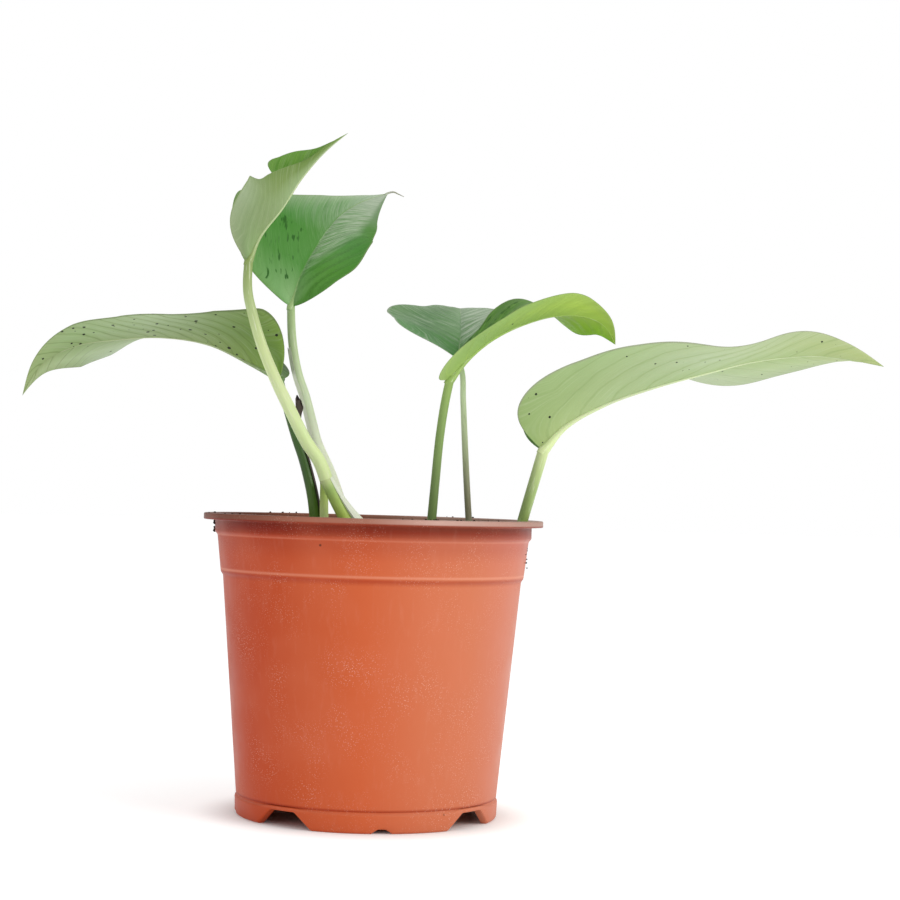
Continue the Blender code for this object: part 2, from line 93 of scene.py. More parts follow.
def fromTo(low, high, first=0.0, last=1.0):
    # the limits of a Map Range: low to high becomes first to last
    return {"From Min": low, "From Max": high, "To Min": first, "To Max": last}


def newMaterial(name):
    # the material, a function that adds nodes to it, and its shader
    material = bpy.data.materials.new(name)
    material.use_nodes = True
    tree = material.node_tree
    return material, partial(addNode, tree), tree.nodes["Principled BSDF"]


def addObject(name, data):
    thing = bpy.data.objects.new(name, data)
    bpy.context.scene.collection.objects.link(thing)
    return thing


def smoothThrough(knots, values, at):
    # cubic through every value; each slope is the mean of the rises on its two sides, weighted by the other
    # side's step
    knots = np.asarray(knots, float)
    flat = np.asarray(values, float).reshape(len(knots), -1)
    step = np.diff(knots)
    rise = np.diff(flat, axis=0) / step[:, None]
    slope = np.empty_like(flat)
    before, after = step[:-1, None], step[1:, None]
    slope[1:-1] = (rise[:-1] * after + rise[1:] * before) / (before + after)
    slope[0] = 1.5 * rise[0] - 0.5 * slope[1]
    slope[-1] = 1.5 * rise[-1] - 0.5 * slope[-2]
    piece = np.clip(np.searchsorted(knots, at, side="right") - 1, 0, len(step) - 1)
    s = ((at - knots[piece]) / step[piece])[:, None]
    width = step[piece][:, None]
    result = (2 * s**3 - 3 * s**2 + 1) * flat[piece] + (s**3 - 2 * s**2 + s) * width * slope[piece]
    result += (3 * s**2 - 2 * s**3) * flat[piece + 1] + (s**3 - s**2) * width * slope[piece + 1]
    return result.reshape((len(at),) + np.shape(values)[1:])


def alongCurve(points, at):
    # places and unit headings on the smooth curve through points, at shares of its length
    points = np.asarray(points, float)
    spans = np.linalg.norm(np.diff(points, axis=0), axis=1)
    knots = np.concatenate([[0], np.cumsum(spans)]) / spans.sum()
    ahead = smoothThrough(knots, points, np.clip(at + 0.001, 0, 1))
    behind = smoothThrough(knots, points, np.clip(at - 0.001, 0, 1))
    heading = ahead - behind
    return smoothThrough(knots, points, at), heading / np.linalg.norm(heading, axis=1)[:, None]


def squareTo(heading, towards):
    # the unit direction nearest to towards that is square to each heading
    towards = np.asarray(towards, float)
    square = towards - (heading @ towards)[:, None] * heading
    return square / np.linalg.norm(square, axis=1)[:, None]


def lengthOf(points):
    return float(np.linalg.norm(np.diff(np.asarray(points, float), axis=0), axis=1).sum())


def gridFaces(rows, sides, wrapRows=False):
    # quads between neighbouring rings; the sides always close, the rows only when wrapRows is set
    i = np.arange(sides)
    r = np.arange(rows if wrapRows else rows - 1)[:, None]
    j, up = (i + 1) % sides, (r + 1) % rows
    return np.stack([r * sides + i, r * sides + j, up * sides + j, up * sides + i], -1).reshape(-1, 4)


def volumeOf(points, quads):
    # signed volume: a sixth of the summed triple products of both triangles of every quad
    a, b, c, d = (points[quads[:, k]] for k in range(4))
    return (np.einsum("ij,ij->i", a, np.cross(b, c)) + np.einsum("ij,ij->i", a, np.cross(c, d))).sum() / 6


def skin(name, rings, materials, wrapRows=False, attributes=None, slotOfFace=None, sharp=40):
    # a closed mesh through a stack of rings, in millimetres: quads between them and one cap at each end
    rows, sides = rings.shape[:2]
    points = rings.reshape(-1, 3)
    quads = gridFaces(rows, sides, wrapRows)
    caps = [] if wrapRows else [list(range(sides))[::-1], list(range((rows - 1) * sides, rows * sides))]
    if volumeOf(points - points.mean(axis=0), quads) < 0:
        quads = quads[:, ::-1]
        caps = [cap[::-1] for cap in caps]
    mesh = bpy.data.meshes.new(name)
    mesh.from_pydata((points / 1000).tolist(), [], quads.tolist() + caps)
    for material in materials:
        mesh.materials.append(material)
    if slotOfFace is not None:
        index = np.concatenate([slotOfFace.reshape(-1), np.zeros(len(caps), int)]).astype(np.int32)
        mesh.polygons.foreach_set("material_index", index)
    for label, values in (attributes or {}).items():
        kind, field = {1: ("FLOAT", "value"), 3: ("FLOAT_VECTOR", "vector"), 4: ("FLOAT_COLOR", "color")}[
            1 if values.ndim == 2 else values.shape[-1]]
        layer = mesh.attributes.new(label, kind, "POINT")
        layer.data.foreach_set(field, values.reshape(-1).astype(np.float32))
    mesh.shade_smooth()
    mesh.set_sharp_from_angle(angle=math.radians(sharp))
    mesh.update()
    return addObject(name, mesh)


def settle(piece, slot, *nodes):
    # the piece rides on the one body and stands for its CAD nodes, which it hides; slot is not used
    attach(piece, "root")
    if nodes:
        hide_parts(*nodes)


# camera, light and floor

view = {"place": (32.8, -931.0, 142.3), "pitch": 1.18, "roll": 1.6, "lens": 84.0}
light = {"world": 0.70, "sky": 1.0, "key": 4.0, "keyPlace": (760, -520, 620), "keySize": 0.6,
         "fill": 0.6, "fillPlace": (-700, -700, 420), "fillSize": 0.9, "aim": (0, 0, 0.14),
         "table": 0.42, "paintedShadowFrom": 0.046, "paintedShadowTo": 0.080}


def aimed(place, target):
    # a matrix at place whose -Z looks at target
    turn = (Vector(target) - Vector(place)).to_track_quat("-Z", "Y")
    return Matrix.LocRotScale(Vector(place), turn, None)


def makeStage():
    scene = bpy.context.scene
    scene.view_settings.view_transform = "Standard"
    lens = bpy.data.cameras.new("camera")
    lens.lens = view["lens"]
    lens.sensor_width = 36
    lens.clip_start, lens.clip_end = 0.01, 50
    camera = addObject("camera", lens)
    place = (potAxis + view["place"]) / 1000
    pitched = Matrix.Rotation(math.radians(90 + view["pitch"]), 4, "X")
    rolled = Matrix.Rotation(math.radians(view["roll"]), 4, "Z")
    camera.matrix_world = Matrix.Translation(place.tolist()) @ pitched @ rolled
    scene.camera = camera

    world = bpy.data.worlds.new("softbox room")
    world.use_nodes = True
    scene.world = world
    world.node_tree.nodes.clear()
    add = partial(addNode, world.node_tree)
    seen = add("LightPath")
    strength = add("Mix", {2: light["world"], 3: light["sky"]}, {0: seen.outputs["Is Camera Ray"]},
                   data_type="FLOAT")
    backdrop = add("Background", {"Color": (1, 1, 1, 1)}, {"Strength": strength})
    add("OutputWorld", links={"Surface": backdrop})

    for name, tone in (("key", (1.0, 0.97, 0.93)), ("fill", (0.94, 0.97, 1.0))):
        lamp = bpy.data.lights.new(name, "AREA")
        lamp.shape = "DISK"
        lamp.energy = light[name]
        lamp.size = light[name + "Size"]
        lamp.color = tone
        where = (potAxis + light[name + "Place"]) / 1000
        addObject(name, lamp).matrix_world = aimed(where.tolist(), light["aim"])

    # matte white paper that glows evenly, as if lit from below; the glow fades out towards the pot, which
    # paints a soft shadow round it, and a faint cyan tint offsets the pink light that the pot throws on it
    paper, add, shader = newMaterial("white seamless paper")
    place = add("TexCoord").outputs["Object"]
    away = add("VectorMath", {1: (potAxis / 1000).tolist()}, {0: place}, operation="DISTANCE")
    # the glow fades out towards the pot, painting a soft shadow round it
    glowWithPaintedShadow = add("MapRange", fromTo(light["paintedShadowFrom"], light["paintedShadowTo"], 0, light["table"]),
               {"Value": away}, interpolation_type="SMOOTHSTEP")
    # the faint cyan tint offsets the pink light that the pot throws on the floor
    connect(shader, {"Base Color": (0.89, 0.93, 0.94, 1), "Roughness": 0.9, "Specular IOR Level": 0.1,
                     "Emission Color": (1, 1, 1, 1)}, {"Emission Strength": glowWithPaintedShadow})
    sheet = bpy.data.meshes.new("floor")
    sheet.from_pydata([(-6, -4, 0), (6, -4, 0), (6, 8, 0), (-6, 8, 0)], [], [(0, 1, 2, 3)])
    sheet.materials.append(paper)
    addObject("floor", sheet)


makeStage()
print("stage set")


# the pot

pot = {
    "height": 131.0, "rimRadius": 75.0, "rimThickness": 2.8, "neckRadius": 70.0, "neckHeight": 5.2,
    "bandTop": 68.8, "bandFoot": 66.9, "bandLedge": 1.4, "bandHeight": 17.5, "bandRound": 1.2,
    "wallTop": 65.9, "wallFoot": 57.4, "wall": 1.4, "floor": 8.2, "floorThickness": 1.6,
    "skirt": 2.6, "bulge": 0.5, "footBevel": 2.2, "ledge": 1.0,
    "gapBearing": 54.0, "gapHeight": 7.0, "gapTop": 12.8, "gapBottom": 29.0,
    "notchHeight": 1.8, "notchTop": 3.5, "notchBottom": 9.0,
    "drainHoles": 8, "drainRadius": 5.0, "drainRing": 40.0,
    "columns": 480,
    "shadedHalf": 65.0, "rimEdge": (0.4, 1.0),
    # edge is the colour of the painted highlight lines at the ledges
    "sunFaded": "D07253", "edge": "E8A286", "dust": "E6C3B4", "dirt": "3A2318",
    # the side's colours carry painted light: darker on the left, lighter and paler on the right
    "paintedLightSideTones": ((0.0, "AE3E18"), (0.08, "B2411A"), (0.18, "B7461F"), (0.32, "C0542D"), (0.5, "C65D35"),
                  (0.7, "C76C49"), (0.84, "C67150"), (1.0, "C97860")),
    # the rim's dusty brown-grey with painted light across it: darker on the left, a painted highlight on the
    # right
    "rimDustAndPaintedLightTones": ((0.0, "6A3826"), (0.25, "925C4A"), (0.5, "A06C5A"), (0.72, "C09A8E"), (1.0, "A88478")),
    # heights in millimetres: the painted shade that the side's colour is multiplied by, darker and redder in
    # the recess under the rim and in thin lines under the ledges, and how much of "edge", a painted
    # highlight, lies over it
    "paintedShadeHeightTones": ((0, "FFFFFF"), (8.7, "FFFFFF"), (9.2, "D0A498"), (10.2, "FFFFFF"), (103, "FFFFFF"),
                    (104.8, "E2C4BC"), (105.6, "E2C4BC"), (106.1, "FFFFFF"), (113, "FCF8FA"),
                    (118.5, "EEE4EC"), (121.8, "EEE6F4"), (123, "D8C6CE"), (124.2, "C4A8AE"),
                    (125.4, "B78680"), (127.6, "AC8A86"), (131, "B09090")),
    # thin painted highlight lines at the ledges
    "paintedHighlightShares": ((0, "000000"), (7.4, "000000"), (8.2, "606060"), (8.8, "000000"), (106, "000000"),
                   (106.5, "A0A0A0"), (107, "A0A0A0"), (107.5, "000000"), (121.3, "000000"),
                   (121.9, "808080"), (122.4, "000000"), (131, "000000")),
}


def filleted(corners, radii, steps=6):
    # every corner becomes a quadratic arc from a point before it to a point after it, each its radius away
    corners = np.asarray(corners, float)
    before, after = np.roll(corners, 1, axis=0), np.roll(corners, -1, axis=0)
    toBefore, toAfter = before - corners, after - corners
    lowLength, highLength = np.linalg.norm(toBefore, axis=1), np.linalg.norm(toAfter, axis=1)
    reach = np.minimum(np.asarray(radii, float), 0.45 * np.minimum(lowLength, highLength))[:, None]
    start = corners + toBefore / lowLength[:, None] * reach
    end = corners + toAfter / highLength[:, None] * reach
    t = np.linspace(0, 1, steps)[None, :, None]
    bent = (1 - t) ** 2 * start[:, None] + 2 * t * (1 - t) * corners[:, None] + t**2 * end[:, None]
    return bent.reshape(-1, 2)


def potWall():
    # the outer side from the ledge over the feet to the underside of the rim, (radius, height)
    neckFoot = pot["height"] - pot["rimThickness"] - pot["neckHeight"]
    bandTop = neckFoot - pot["bandLedge"]
    wallTop = bandTop - pot["bandHeight"]
    return np.array([
        (pot["wallFoot"], pot["floor"] + pot["ledge"]), (pot["wallTop"], wallTop),
        (pot["bandFoot"], wallTop + pot["bandRound"]), (pot["bandTop"], bandTop),
        (pot["neckRadius"], neckFoot), (pot["neckRadius"], pot["height"] - pot["rimThickness"]),
    ])


def innerRadius(height):
    wall = potWall()
    return np.interp(height, wall[:, 1], wall[:, 0]) - pot["wall"]


def makePotMaterial():
    # moulded polypropylene, terracotta coloured: satin, with painted light, deeper on the left side and
    # lighter and paler on the right; painted shade, darker and redder, in the recess under the rim and thin
    # lines of painted shade and painted highlight at the ledges; a dusty rim with painted light across it,
    # fine pale grains of dust and a few grains of dirt
    material, add, shader = newMaterial("terracotta polypropylene, moulded and dusty")
    place = add("TexCoord").outputs["Object"]
    split = add("SeparateXYZ", links={"Vector": place})
    middle, half = potAxis[0] / 1000, pot["shadedHalf"] / 1000
    across = add("MapRange", fromTo(middle - half, middle + half), {"Value": split.outputs["X"]})
    height = add("MapRange", fromTo(0, pot["height"] / 1000), {"Value": split.outputs["Z"]})
    upwards = {key: [(mm / pot["height"], tone) for mm, tone in pot[key]]
               for key in ("paintedShadeHeightTones", "paintedHighlightShares")}
    # painted light across the pot: darker on the left, lighter and paler on the right
    body = add("ValToRGB", links={"Fac": across}, stops=pot["paintedLightSideTones"])
    # painted shade by height: darker and redder under the rim, thin dark lines under the ledges
    paintedShadeByHeight = add("ValToRGB", links={"Fac": height}, stops=upwards["paintedShadeHeightTones"])
    paintedLightAndShade = add("Mix", {0: 1.0}, {6: body, 7: paintedShadeByHeight}, data_type="RGBA", blend_type="MULTIPLY")
    # painted highlight: thin light lines at the ledges
    paintedHighlightLines = add("ValToRGB", links={"Fac": height}, stops=upwards["paintedHighlightShares"])
    withPaintedHighlights = add("Mix", {7: rgba(pot["edge"])}, {6: paintedLightAndShade, 0: paintedHighlightLines}, data_type="RGBA")
    # the rim: dusty brown-grey with painted light, darker on the left, with a painted highlight on the right
    rimDustAndPaintedLight = add("ValToRGB", links={"Fac": across}, stops=pot["rimDustAndPaintedLightTones"])
    rimLow, rimHigh = ((pot["height"] - pot["rimThickness"] + more) / 1000 for more in pot["rimEdge"])
    rimMask = add("MapRange", fromTo(rimLow, rimHigh), {"Value": split.outputs["Z"]})
    rimmed = add("Mix", links={6: withPaintedHighlights, 7: rimDustAndPaintedLight, 0: rimMask}, data_type="RGBA")
    # 45 mm clouds
    broad = add("TexNoise", {"Scale": 22.0, "Detail": 3.0, "Roughness": 0.55}, {"Vector": place})
    fadeMask = add("MapRange", fromTo(0.5, 0.8, 0, 0.3), {"Value": broad})
    faded = add("Mix", {7: rgba(pot["sunFaded"])}, {6: rimmed, 0: fadeMask}, data_type="RGBA")
    upright = add("Mapping", {"Scale": (1.0, 1.0, 0.22)}, {"Vector": place})   # rubs 2.4 mm wide, 11 mm long
    rubs = add("TexNoise", {"Scale": 420.0, "Detail": 4.0, "Roughness": 0.6}, {"Vector": upright})
    rubMask = add("MapRange", fromTo(0.55, 0.85, 0, 0.05), {"Value": rubs})
    rubbed = add("Mix", {7: rgba(pot["dust"])}, {6: faded, 0: rubMask}, data_type="RGBA")
    grains = add("TexVoronoi", {"Scale": 1300.0}, {"Vector": place})   # 0.8 mm apart
    grainSize = add("MapRange", fromTo(0.06, 0.30, 1, 0), {"Value": grains})
    patches = add("TexNoise", {"Scale": 60.0, "Detail": 3.0}, {"Vector": place})   # 17 mm patches of dust
    patchMask = add("MapRange", fromTo(0.44, 0.70, 0, 0.65), {"Value": patches})
    grainMask = add("Math", links={0: grainSize, 1: patchMask}, operation="MULTIPLY")
    dusted = add("Mix", {7: rgba(pot["dust"])}, {6: rubbed, 0: grainMask}, data_type="RGBA")
    spots = add("TexVoronoi", {"Scale": 150.0}, {"Vector": place})   # a cell each 6.7 mm
    spotCell = add("SeparateColor", links={0: spots.outputs["Color"]})
    spotFew = add("Math", {1: 0.93}, {0: spotCell}, operation="GREATER_THAN")
    spotSize = add("MapRange", fromTo(0.05, 0.11, 0.8, 0), {"Value": spots})
    spotMask = add("Math", links={0: spotFew, 1: spotSize}, operation="MULTIPLY")
    colour = add("Mix", {7: rgba(pot["dirt"])}, {6: dusted, 0: spotMask}, data_type="RGBA")
    gloss = add("MapRange", fromTo(0.3, 0.7, 0.34, 0.5), {"Value": patches})
    moulded = add("TexNoise", {"Scale": 1500.0}, {"Vector": place})   # fine orange peel of the mould
    peel = add("Bump", {"Strength": 0.25, "Distance": 0.00008}, {"Height": moulded})
    connect(shader, {"IOR": 1.49, "Specular IOR Level": 0.14},
            {"Base Color": colour, "Roughness": gloss, "Normal": peel})
    return material


def makePot():
    # a closed profile turned round the axis; its lowest part is lifted by gap(angle), a ramp up and down at
    # each opening between the feet and at the notch under each foot: z' = gap + z (1 - gap / limit)
    skirt = pot["wallFoot"] + pot["bulge"]
    under = pot["height"] - pot["rimThickness"]
    floorUnder = pot["floor"] - pot["floorThickness"]
    outside = potWall()
    lip = pot["neckRadius"] - pot["wall"]
    inside = outside[-2::-1] - (pot["wall"], 0)
    inside[-1, 1] = pot["floor"] + 2.4
    corners = np.concatenate([
        # from the middle out under the floor, round the feet and up to the ledge over them
        [(pot["drainRadius"], pot["floor"]), (pot["drainRadius"], floorUnder), (skirt - 8.0, floorUnder),
         (skirt - pot["skirt"] - 0.6, floorUnder), (skirt - pot["skirt"] - 1.2, 0), (skirt - 0.3, 0),
         (skirt, pot["floor"] - 0.6), (skirt - pot["ledge"], pot["floor"] + 0.4)],
        outside, [(pot["rimRadius"], under), (pot["rimRadius"], pot["height"]), (lip, pot["height"])],
        inside, [(inside[-1, 0] - 2.0, pot["floor"])]])
    footRadii = [0.3, 0.3, 1, 0.6, 0.5, pot["footBevel"], 0.9, 0.4]
    wallRadii = [0.4, 1.2, 0.8, 0.5, 0.5, 0.7]
    rimRadii = [0.5, 0.7, 0.9]
    profile = filleted(corners, footRadii + wallRadii + rimRadii + [1.0] * (len(inside) + 1))
    theta = np.arange(pot["columns"]) * 2 * math.pi / pot["columns"]

    def ramp(bearing, height, bottom, top):
        off = np.abs((np.degrees(theta) - bearing + 45) % 90 - 45)
        return height * np.clip((bottom / 2 - off) / (bottom / 2 - top / 2), 0, 1)

    gap = np.maximum(ramp(pot["gapBearing"], pot["gapHeight"], pot["gapBottom"], pot["gapTop"]),
                     ramp(pot["gapBearing"] + 45, pot["notchHeight"], pot["notchBottom"], pot["notchTop"]))
    radius, z = profile[:, 0], profile[:, 1]
    outer = radius > skirt - pot["skirt"] / 2
    limit = np.where(outer, pot["floor"] + pot["ledge"], pot["gapHeight"] + 0.3)
    moves = (z < limit) & (radius > skirt - 5.5) & (outer | (z < pot["floor"] - 0.5))
    lifted = np.where(moves, gap[:, None] + z * (1 - gap[:, None] / limit), z)
    # a thin wall is never quite round
    bowed = radius * (1 + 0.0016 * np.sin(2 * theta + 0.6)[:, None] * (z / pot["height"]) ** 2)
    rings = np.stack([bowed * np.sin(theta)[:, None], -bowed * np.cos(theta)[:, None], lifted], axis=-1)
    piece = skin("nurseryPot", rings + potAxis, [makePotMaterial()], wrapRows=True, sharp=60)
    bore = bmesh.new()
    for i in range(pot["drainHoles"]):
        bearing = 2 * math.pi * (i + 0.5) / pot["drainHoles"]
        outwards = np.array([math.sin(bearing), -math.cos(bearing), 0])
        centre = potAxis / 1000 + outwards * pot["drainRing"] / 1000
        where = Matrix.Translation((centre[0], centre[1], pot["floor"] / 1000))
        radius = pot["drainRadius"] / 1000
        bmesh.ops.create_cone(bore, cap_ends=True, segments=32, radius1=radius, radius2=radius, depth=0.012,
                              matrix=where)
    drill = addObject("drill", bpy.data.meshes.new("drill"))
    bore.to_mesh(drill.data)
    bore.free()
    cut = piece.modifiers.new("drain holes", "BOOLEAN")
    cut.object = drill
    drilled = bpy.data.meshes.new_from_object(piece.evaluated_get(bpy.context.evaluated_depsgraph_get()))
    piece.modifiers.clear()
    piece.data = drilled
    bpy.data.objects.remove(drill)
    settle(piece, "pot", "pot")


makePot()
print("pot made")


# the soil

soil = {"belowRim": 7.5, "mound": 1.5, "clearance": 0.3, "rows": 90, "columns": 220,
        "waves": ((26, 0.5), (11, 0.35), (5, 0.28), (2.6, 0.22)), "lumps": 620,
        "strays": 26, "strayBearings": (-62, -50, 38, 20, 150, 215),
        "stuck": ({"count": 14, "bearing": -86.0, "heights": (123, 128), "radius": 70.1, "size": 0.75},
                  {"count": 9, "bearing": 84.0, "heights": (110, 119), "radius": 68.3, "size": 0.4}),
        "peat": "2A1E16", "light": "4A3828", "grit": "7C6A55"}
soilTop = pot["height"] - soil["belowRim"]
soilEdge = float(innerRadius(soilTop)) - soil["clearance"]


def soilHeight(x, y):
    # a low mound: full height in the middle, none at the wall
    share = np.minimum(np.hypot(x, y) / soilEdge, 1)
    return soilTop + soil["mound"] * (1 - share**2)


def makePeat():
    # moist peat: nearly black fibres and crumbs, paler where they dry, with a few grains of grit
    material, add, shader = newMaterial("moist peat with grit")
    place = add("TexCoord").outputs["Object"]
    # 2 mm crumbs
    crumb = add("TexNoise", {"Scale": 520.0, "Detail": 5.0, "Roughness": 0.65}, {"Vector": place})
    tone = add("ValToRGB", links={"Fac": crumb}, stops=[
        (0.3, "15100C"), (0.5, soil["peat"]), (0.68, soil["light"]), (0.8, soil["grit"])])
    relief = add("Bump", {"Strength": 0.9, "Distance": 0.0008}, {"Height": crumb})
    connect(shader, {"Roughness": 0.92, "Specular IOR Level": 0.25}, {"Base Color": tone, "Normal": relief})
    return material


def rough(x, y, waves):
    # sum of plane waves with random directions, lengths and phases, as a cheap smooth noise
    total = np.zeros_like(x)
    for length, size in waves:
        turn, phase = rng.uniform(0, 2 * math.pi, 5), rng.uniform(0, 2 * math.pi, 5)
        for a, p in zip(turn, phase):
            total += size / 2 * np.sin(2 * math.pi / length * (x * math.cos(a) + y * math.sin(a)) + p)
    return total


def makeSoil(peat):
    # side of the block, then rings that close in over its top, displaced up and down by the noise
    bottom = pot["floor"] + soil["clearance"]
    heights = np.array([bottom, bottom + 2.4, 60.0, 95.0, 101.0, 115.0, soilTop - 1.0])
    sides = innerRadius(np.maximum(heights, bottom + 1)) - soil["clearance"]
    sides[0] -= 2.3
    shares = np.linspace(1, 0.004, soil["rows"])
    radius = np.concatenate([sides, soilEdge * shares])
    theta = np.arange(soil["columns"]) * 2 * math.pi / soil["columns"]
    x, y = radius[:, None] * np.sin(theta), -radius[:, None] * np.cos(theta)
    onTop = np.concatenate([np.zeros(len(sides)), np.clip((1 - shares) * 12, 0, 1)])[:, None]
    below = np.broadcast_to(heights[:, None], (len(sides), len(theta)))
    z = np.concatenate([below, soilHeight(x, y)[len(sides):]])
    z = z + onTop * (rough(x, y, soil["waves"]) + 0.4)
    settle(skin("peatBlock", np.stack([x, y, z], -1) + potAxis, [peat], sharp=80), "soil", "soil")


def makeLumps(name, centres, sizes, peat):
    # one small faceted ball copied to every centre, each scaled, squashed and turned by seeded numbers
    ball = bmesh.new()
    bmesh.ops.create_icosphere(ball, subdivisions=2, radius=1)
    shape = np.array([v.co[:] for v in ball.verts])
    faces = np.array([[v.index for v in f.verts] for f in ball.faces])
    ball.free()
    count = len(centres)
    bumps = 1 + 0.22 * np.sin(shape @ rng.normal(0, 3.2, (3, count)) + rng.uniform(0, 6.3, count))
    squash = rng.uniform(0.6, 1.15, (count, 1, 3)) * np.array([1, 1, 0.75])
    spin = rng.uniform(0, 2 * math.pi, count)
    local = shape[None] * bumps.T[..., None] * squash * sizes[:, None, None]
    c, s = np.cos(spin)[:, None], np.sin(spin)[:, None]
    x, y, z = np.moveaxis(local, -1, 0)
    turned = np.stack([c * x - s * y, s * x + c * y, z], -1)
    points = (turned + centres[:, None]).reshape(-1, 3)
    index = (faces[None] + np.arange(count)[:, None, None] * len(shape)).reshape(-1, 3)
    mesh = bpy.data.meshes.new(name)
    mesh.from_pydata((points / 1000).tolist(), [], index.tolist())
    mesh.materials.append(peat)
    mesh.shade_smooth()
    settle(addObject(name, mesh), "soil")


def roundThePot(radius, theta, height):
    return np.stack([radius * np.sin(theta), -radius * np.cos(theta), height], -1) + potAxis


def scatterCrumbs(peat):
    count = soil["lumps"]
    radius = (soilEdge - 2) * np.sqrt(rng.uniform(0, 1, count))
    theta = rng.uniform(0, 2 * math.pi, count)
    size = rng.gamma(2.2, 0.42, count).clip(0.4, 2.6)
    height = soilHeight(radius, 0) + 0.5 + size * 0.25
    makeLumps("peatCrumbs", roundThePot(radius, theta, height), size, peat)
    # strays that lie on the rim, a few more of them on the left
    count = soil["strays"]
    theta = np.radians(rng.choice(soil["strayBearings"], count) + rng.normal(0, 7, count))
    radius = rng.uniform(pot["neckRadius"], pot["rimRadius"] - 1, count)
    place = roundThePot(radius, theta, np.full(count, pot["height"] + 0.15))
    makeLumps("rimCrumbs", place, rng.uniform(0.25, 0.7, count), peat)
    # crumbs stuck to the neck under the rim on the left and to the band on the right
    stuck = soil["stuck"]
    bearing, radius, scale = (np.concatenate([np.full(spot["count"], spot[key]) for spot in stuck])
                              for key in ("bearing", "radius", "size"))
    theta = np.radians(bearing + rng.normal(0, 3, len(bearing)))
    height = np.concatenate([rng.uniform(*spot["heights"], spot["count"]) for spot in stuck])
    makeLumps("wallCrumbs", roundThePot(radius, theta, height), scale * rng.uniform(0.5, 1.2, len(scale)),
              peat)


peatLook = makePeat()
makeSoil(peatLook)
scatterCrumbs(peatLook)
print("soil filled")


# stalks

feet = {"a": (-0.12, -0.375), "b": (-0.18, 0.125), "c": (-0.39, -0.14), "d": (0.665, 0.125),
        "e": (0.395, -0.235), "f": (1.0, -0.016), "stub": (-0.33, -0.219)}
stalks = {
    "a": {"points": [(-12.6, 0, 21.9), (-16, 0, 30), (-21, 0, 37), (-29, 0, 51.5), (-36.5, 1, 66),
                     (-42, 2, 78.5), (-47, 3, 93.5), (-49, 4, 101), (-49.5, 6, 113)],
          "radii": (2.95, 2.5, 1.9), "swell": (), "tones": "D6E8A6 CBDC9D CFDCA4 C6D496 A9BA80 859956"},
    "b": {"points": [(0, 0, 0), (-9.5, 4, 25.5), (-16, 8.5, 39), (-19, 11.5, 49), (-22.5, 14.5, 60.5),
                     (-25.5, 16, 68.5), (-28.5, 17, 82), (-30, 17, 98)],
          "radii": (2.8, 2.4, 1.8), "tones": "DCE8C4 ECF2DA E6EED2 CFDEB8 BACD9E A3BE80"},
    "c": {"points": [(0, 0, 0), (-2, 0, 14), (-4, 1, 22), (-6.5, 3, 30), (-10.6, 6, 40.5),
                     (-13.3, 9, 48), (-16.6, 14, 57.5), (-20.8, 16.4, 63.3)],
          "radii": (2.6, 2.1, 1.7), "streak": "22301A", "tones": "6A8A38 557A24 3A5C20 3E6028 4D6F34 587C3A"},
    "d": {"points": [(0, 0, 0), (-2, 0, 24), (-3.5, 0.5, 45), (-4.5, 1, 60), (-5.5, 2, 73), (-7, 3, 77)],
          "radii": (1.5, 1.4, 1.2), "streak": "6B5F58", "tones": "8E8C6C 827F62 9AA07C BCCB9E C4D6AA A9C088"},
    "e": {"points": [(0, 0, 0), (1.5, 0, 23), (3, 0, 43), (5, 1, 58.5), (6.3, 1, 65)],
          "radii": (2.1, 1.9, 1.9), "streak": "7C9458", "tones": "567036 6A8444 748E4C 7E9A54 88A45A 8FAB5C"},
    "f": {"points": [(0, 0, 0), (1.7, 0, 7), (6, -2, 23.5), (9.6, -3, 37)],
          "radii": (2.3, 2.4, 2.5), "tones": "7E9A4E 88A456 90AA60 98AF6A B0C282 C9D79C"},
}
stem = {"points": [(0, 0, 0), (-5, 0, 8), (-9.5, 0, 16), (-13.4, 0, 23.6)], "radii": (3.7, 3.1, 2.75),
        "swell": (), "streak": "D6E49A", "tones": "B8D856 B8D658 B6D05E AECA66 A2C068 D4E0A4"}
stub = {"points": [(0, 0, 0), (-0.4, 0, 11), (-0.6, 0, 22)], "radii": (1.9, 1.9, 1.7),
        "swell": ((1.0, 0.06, 0.25),), "streak": "F0EEDD", "rough": 0.6,
        "tones": "CCD6A4 D0DCA0 D0E098 C4D884 A8C060 98B050"}
growth = {"edgeSoil": 2.0, "root": 6.0, "rows": 90, "sides": 28, "ribRows": 120, "ribSides": 14,
          "swell": ((0.0, 0.03, 0.3),), "streak": "EEF0DC", "fibreStretch": 14}


def footOf(name):
    # a stalk's foot: on the soil, at shares of the radius that is free inside the wall
    free = soilEdge - growth["edgeSoil"] - stalks["f"]["radii"][0]
    x, y = (share * free for share in feet[name])
    return np.array([x, y, float(soilHeight(np.array(x), np.array(y)))]) + potAxis


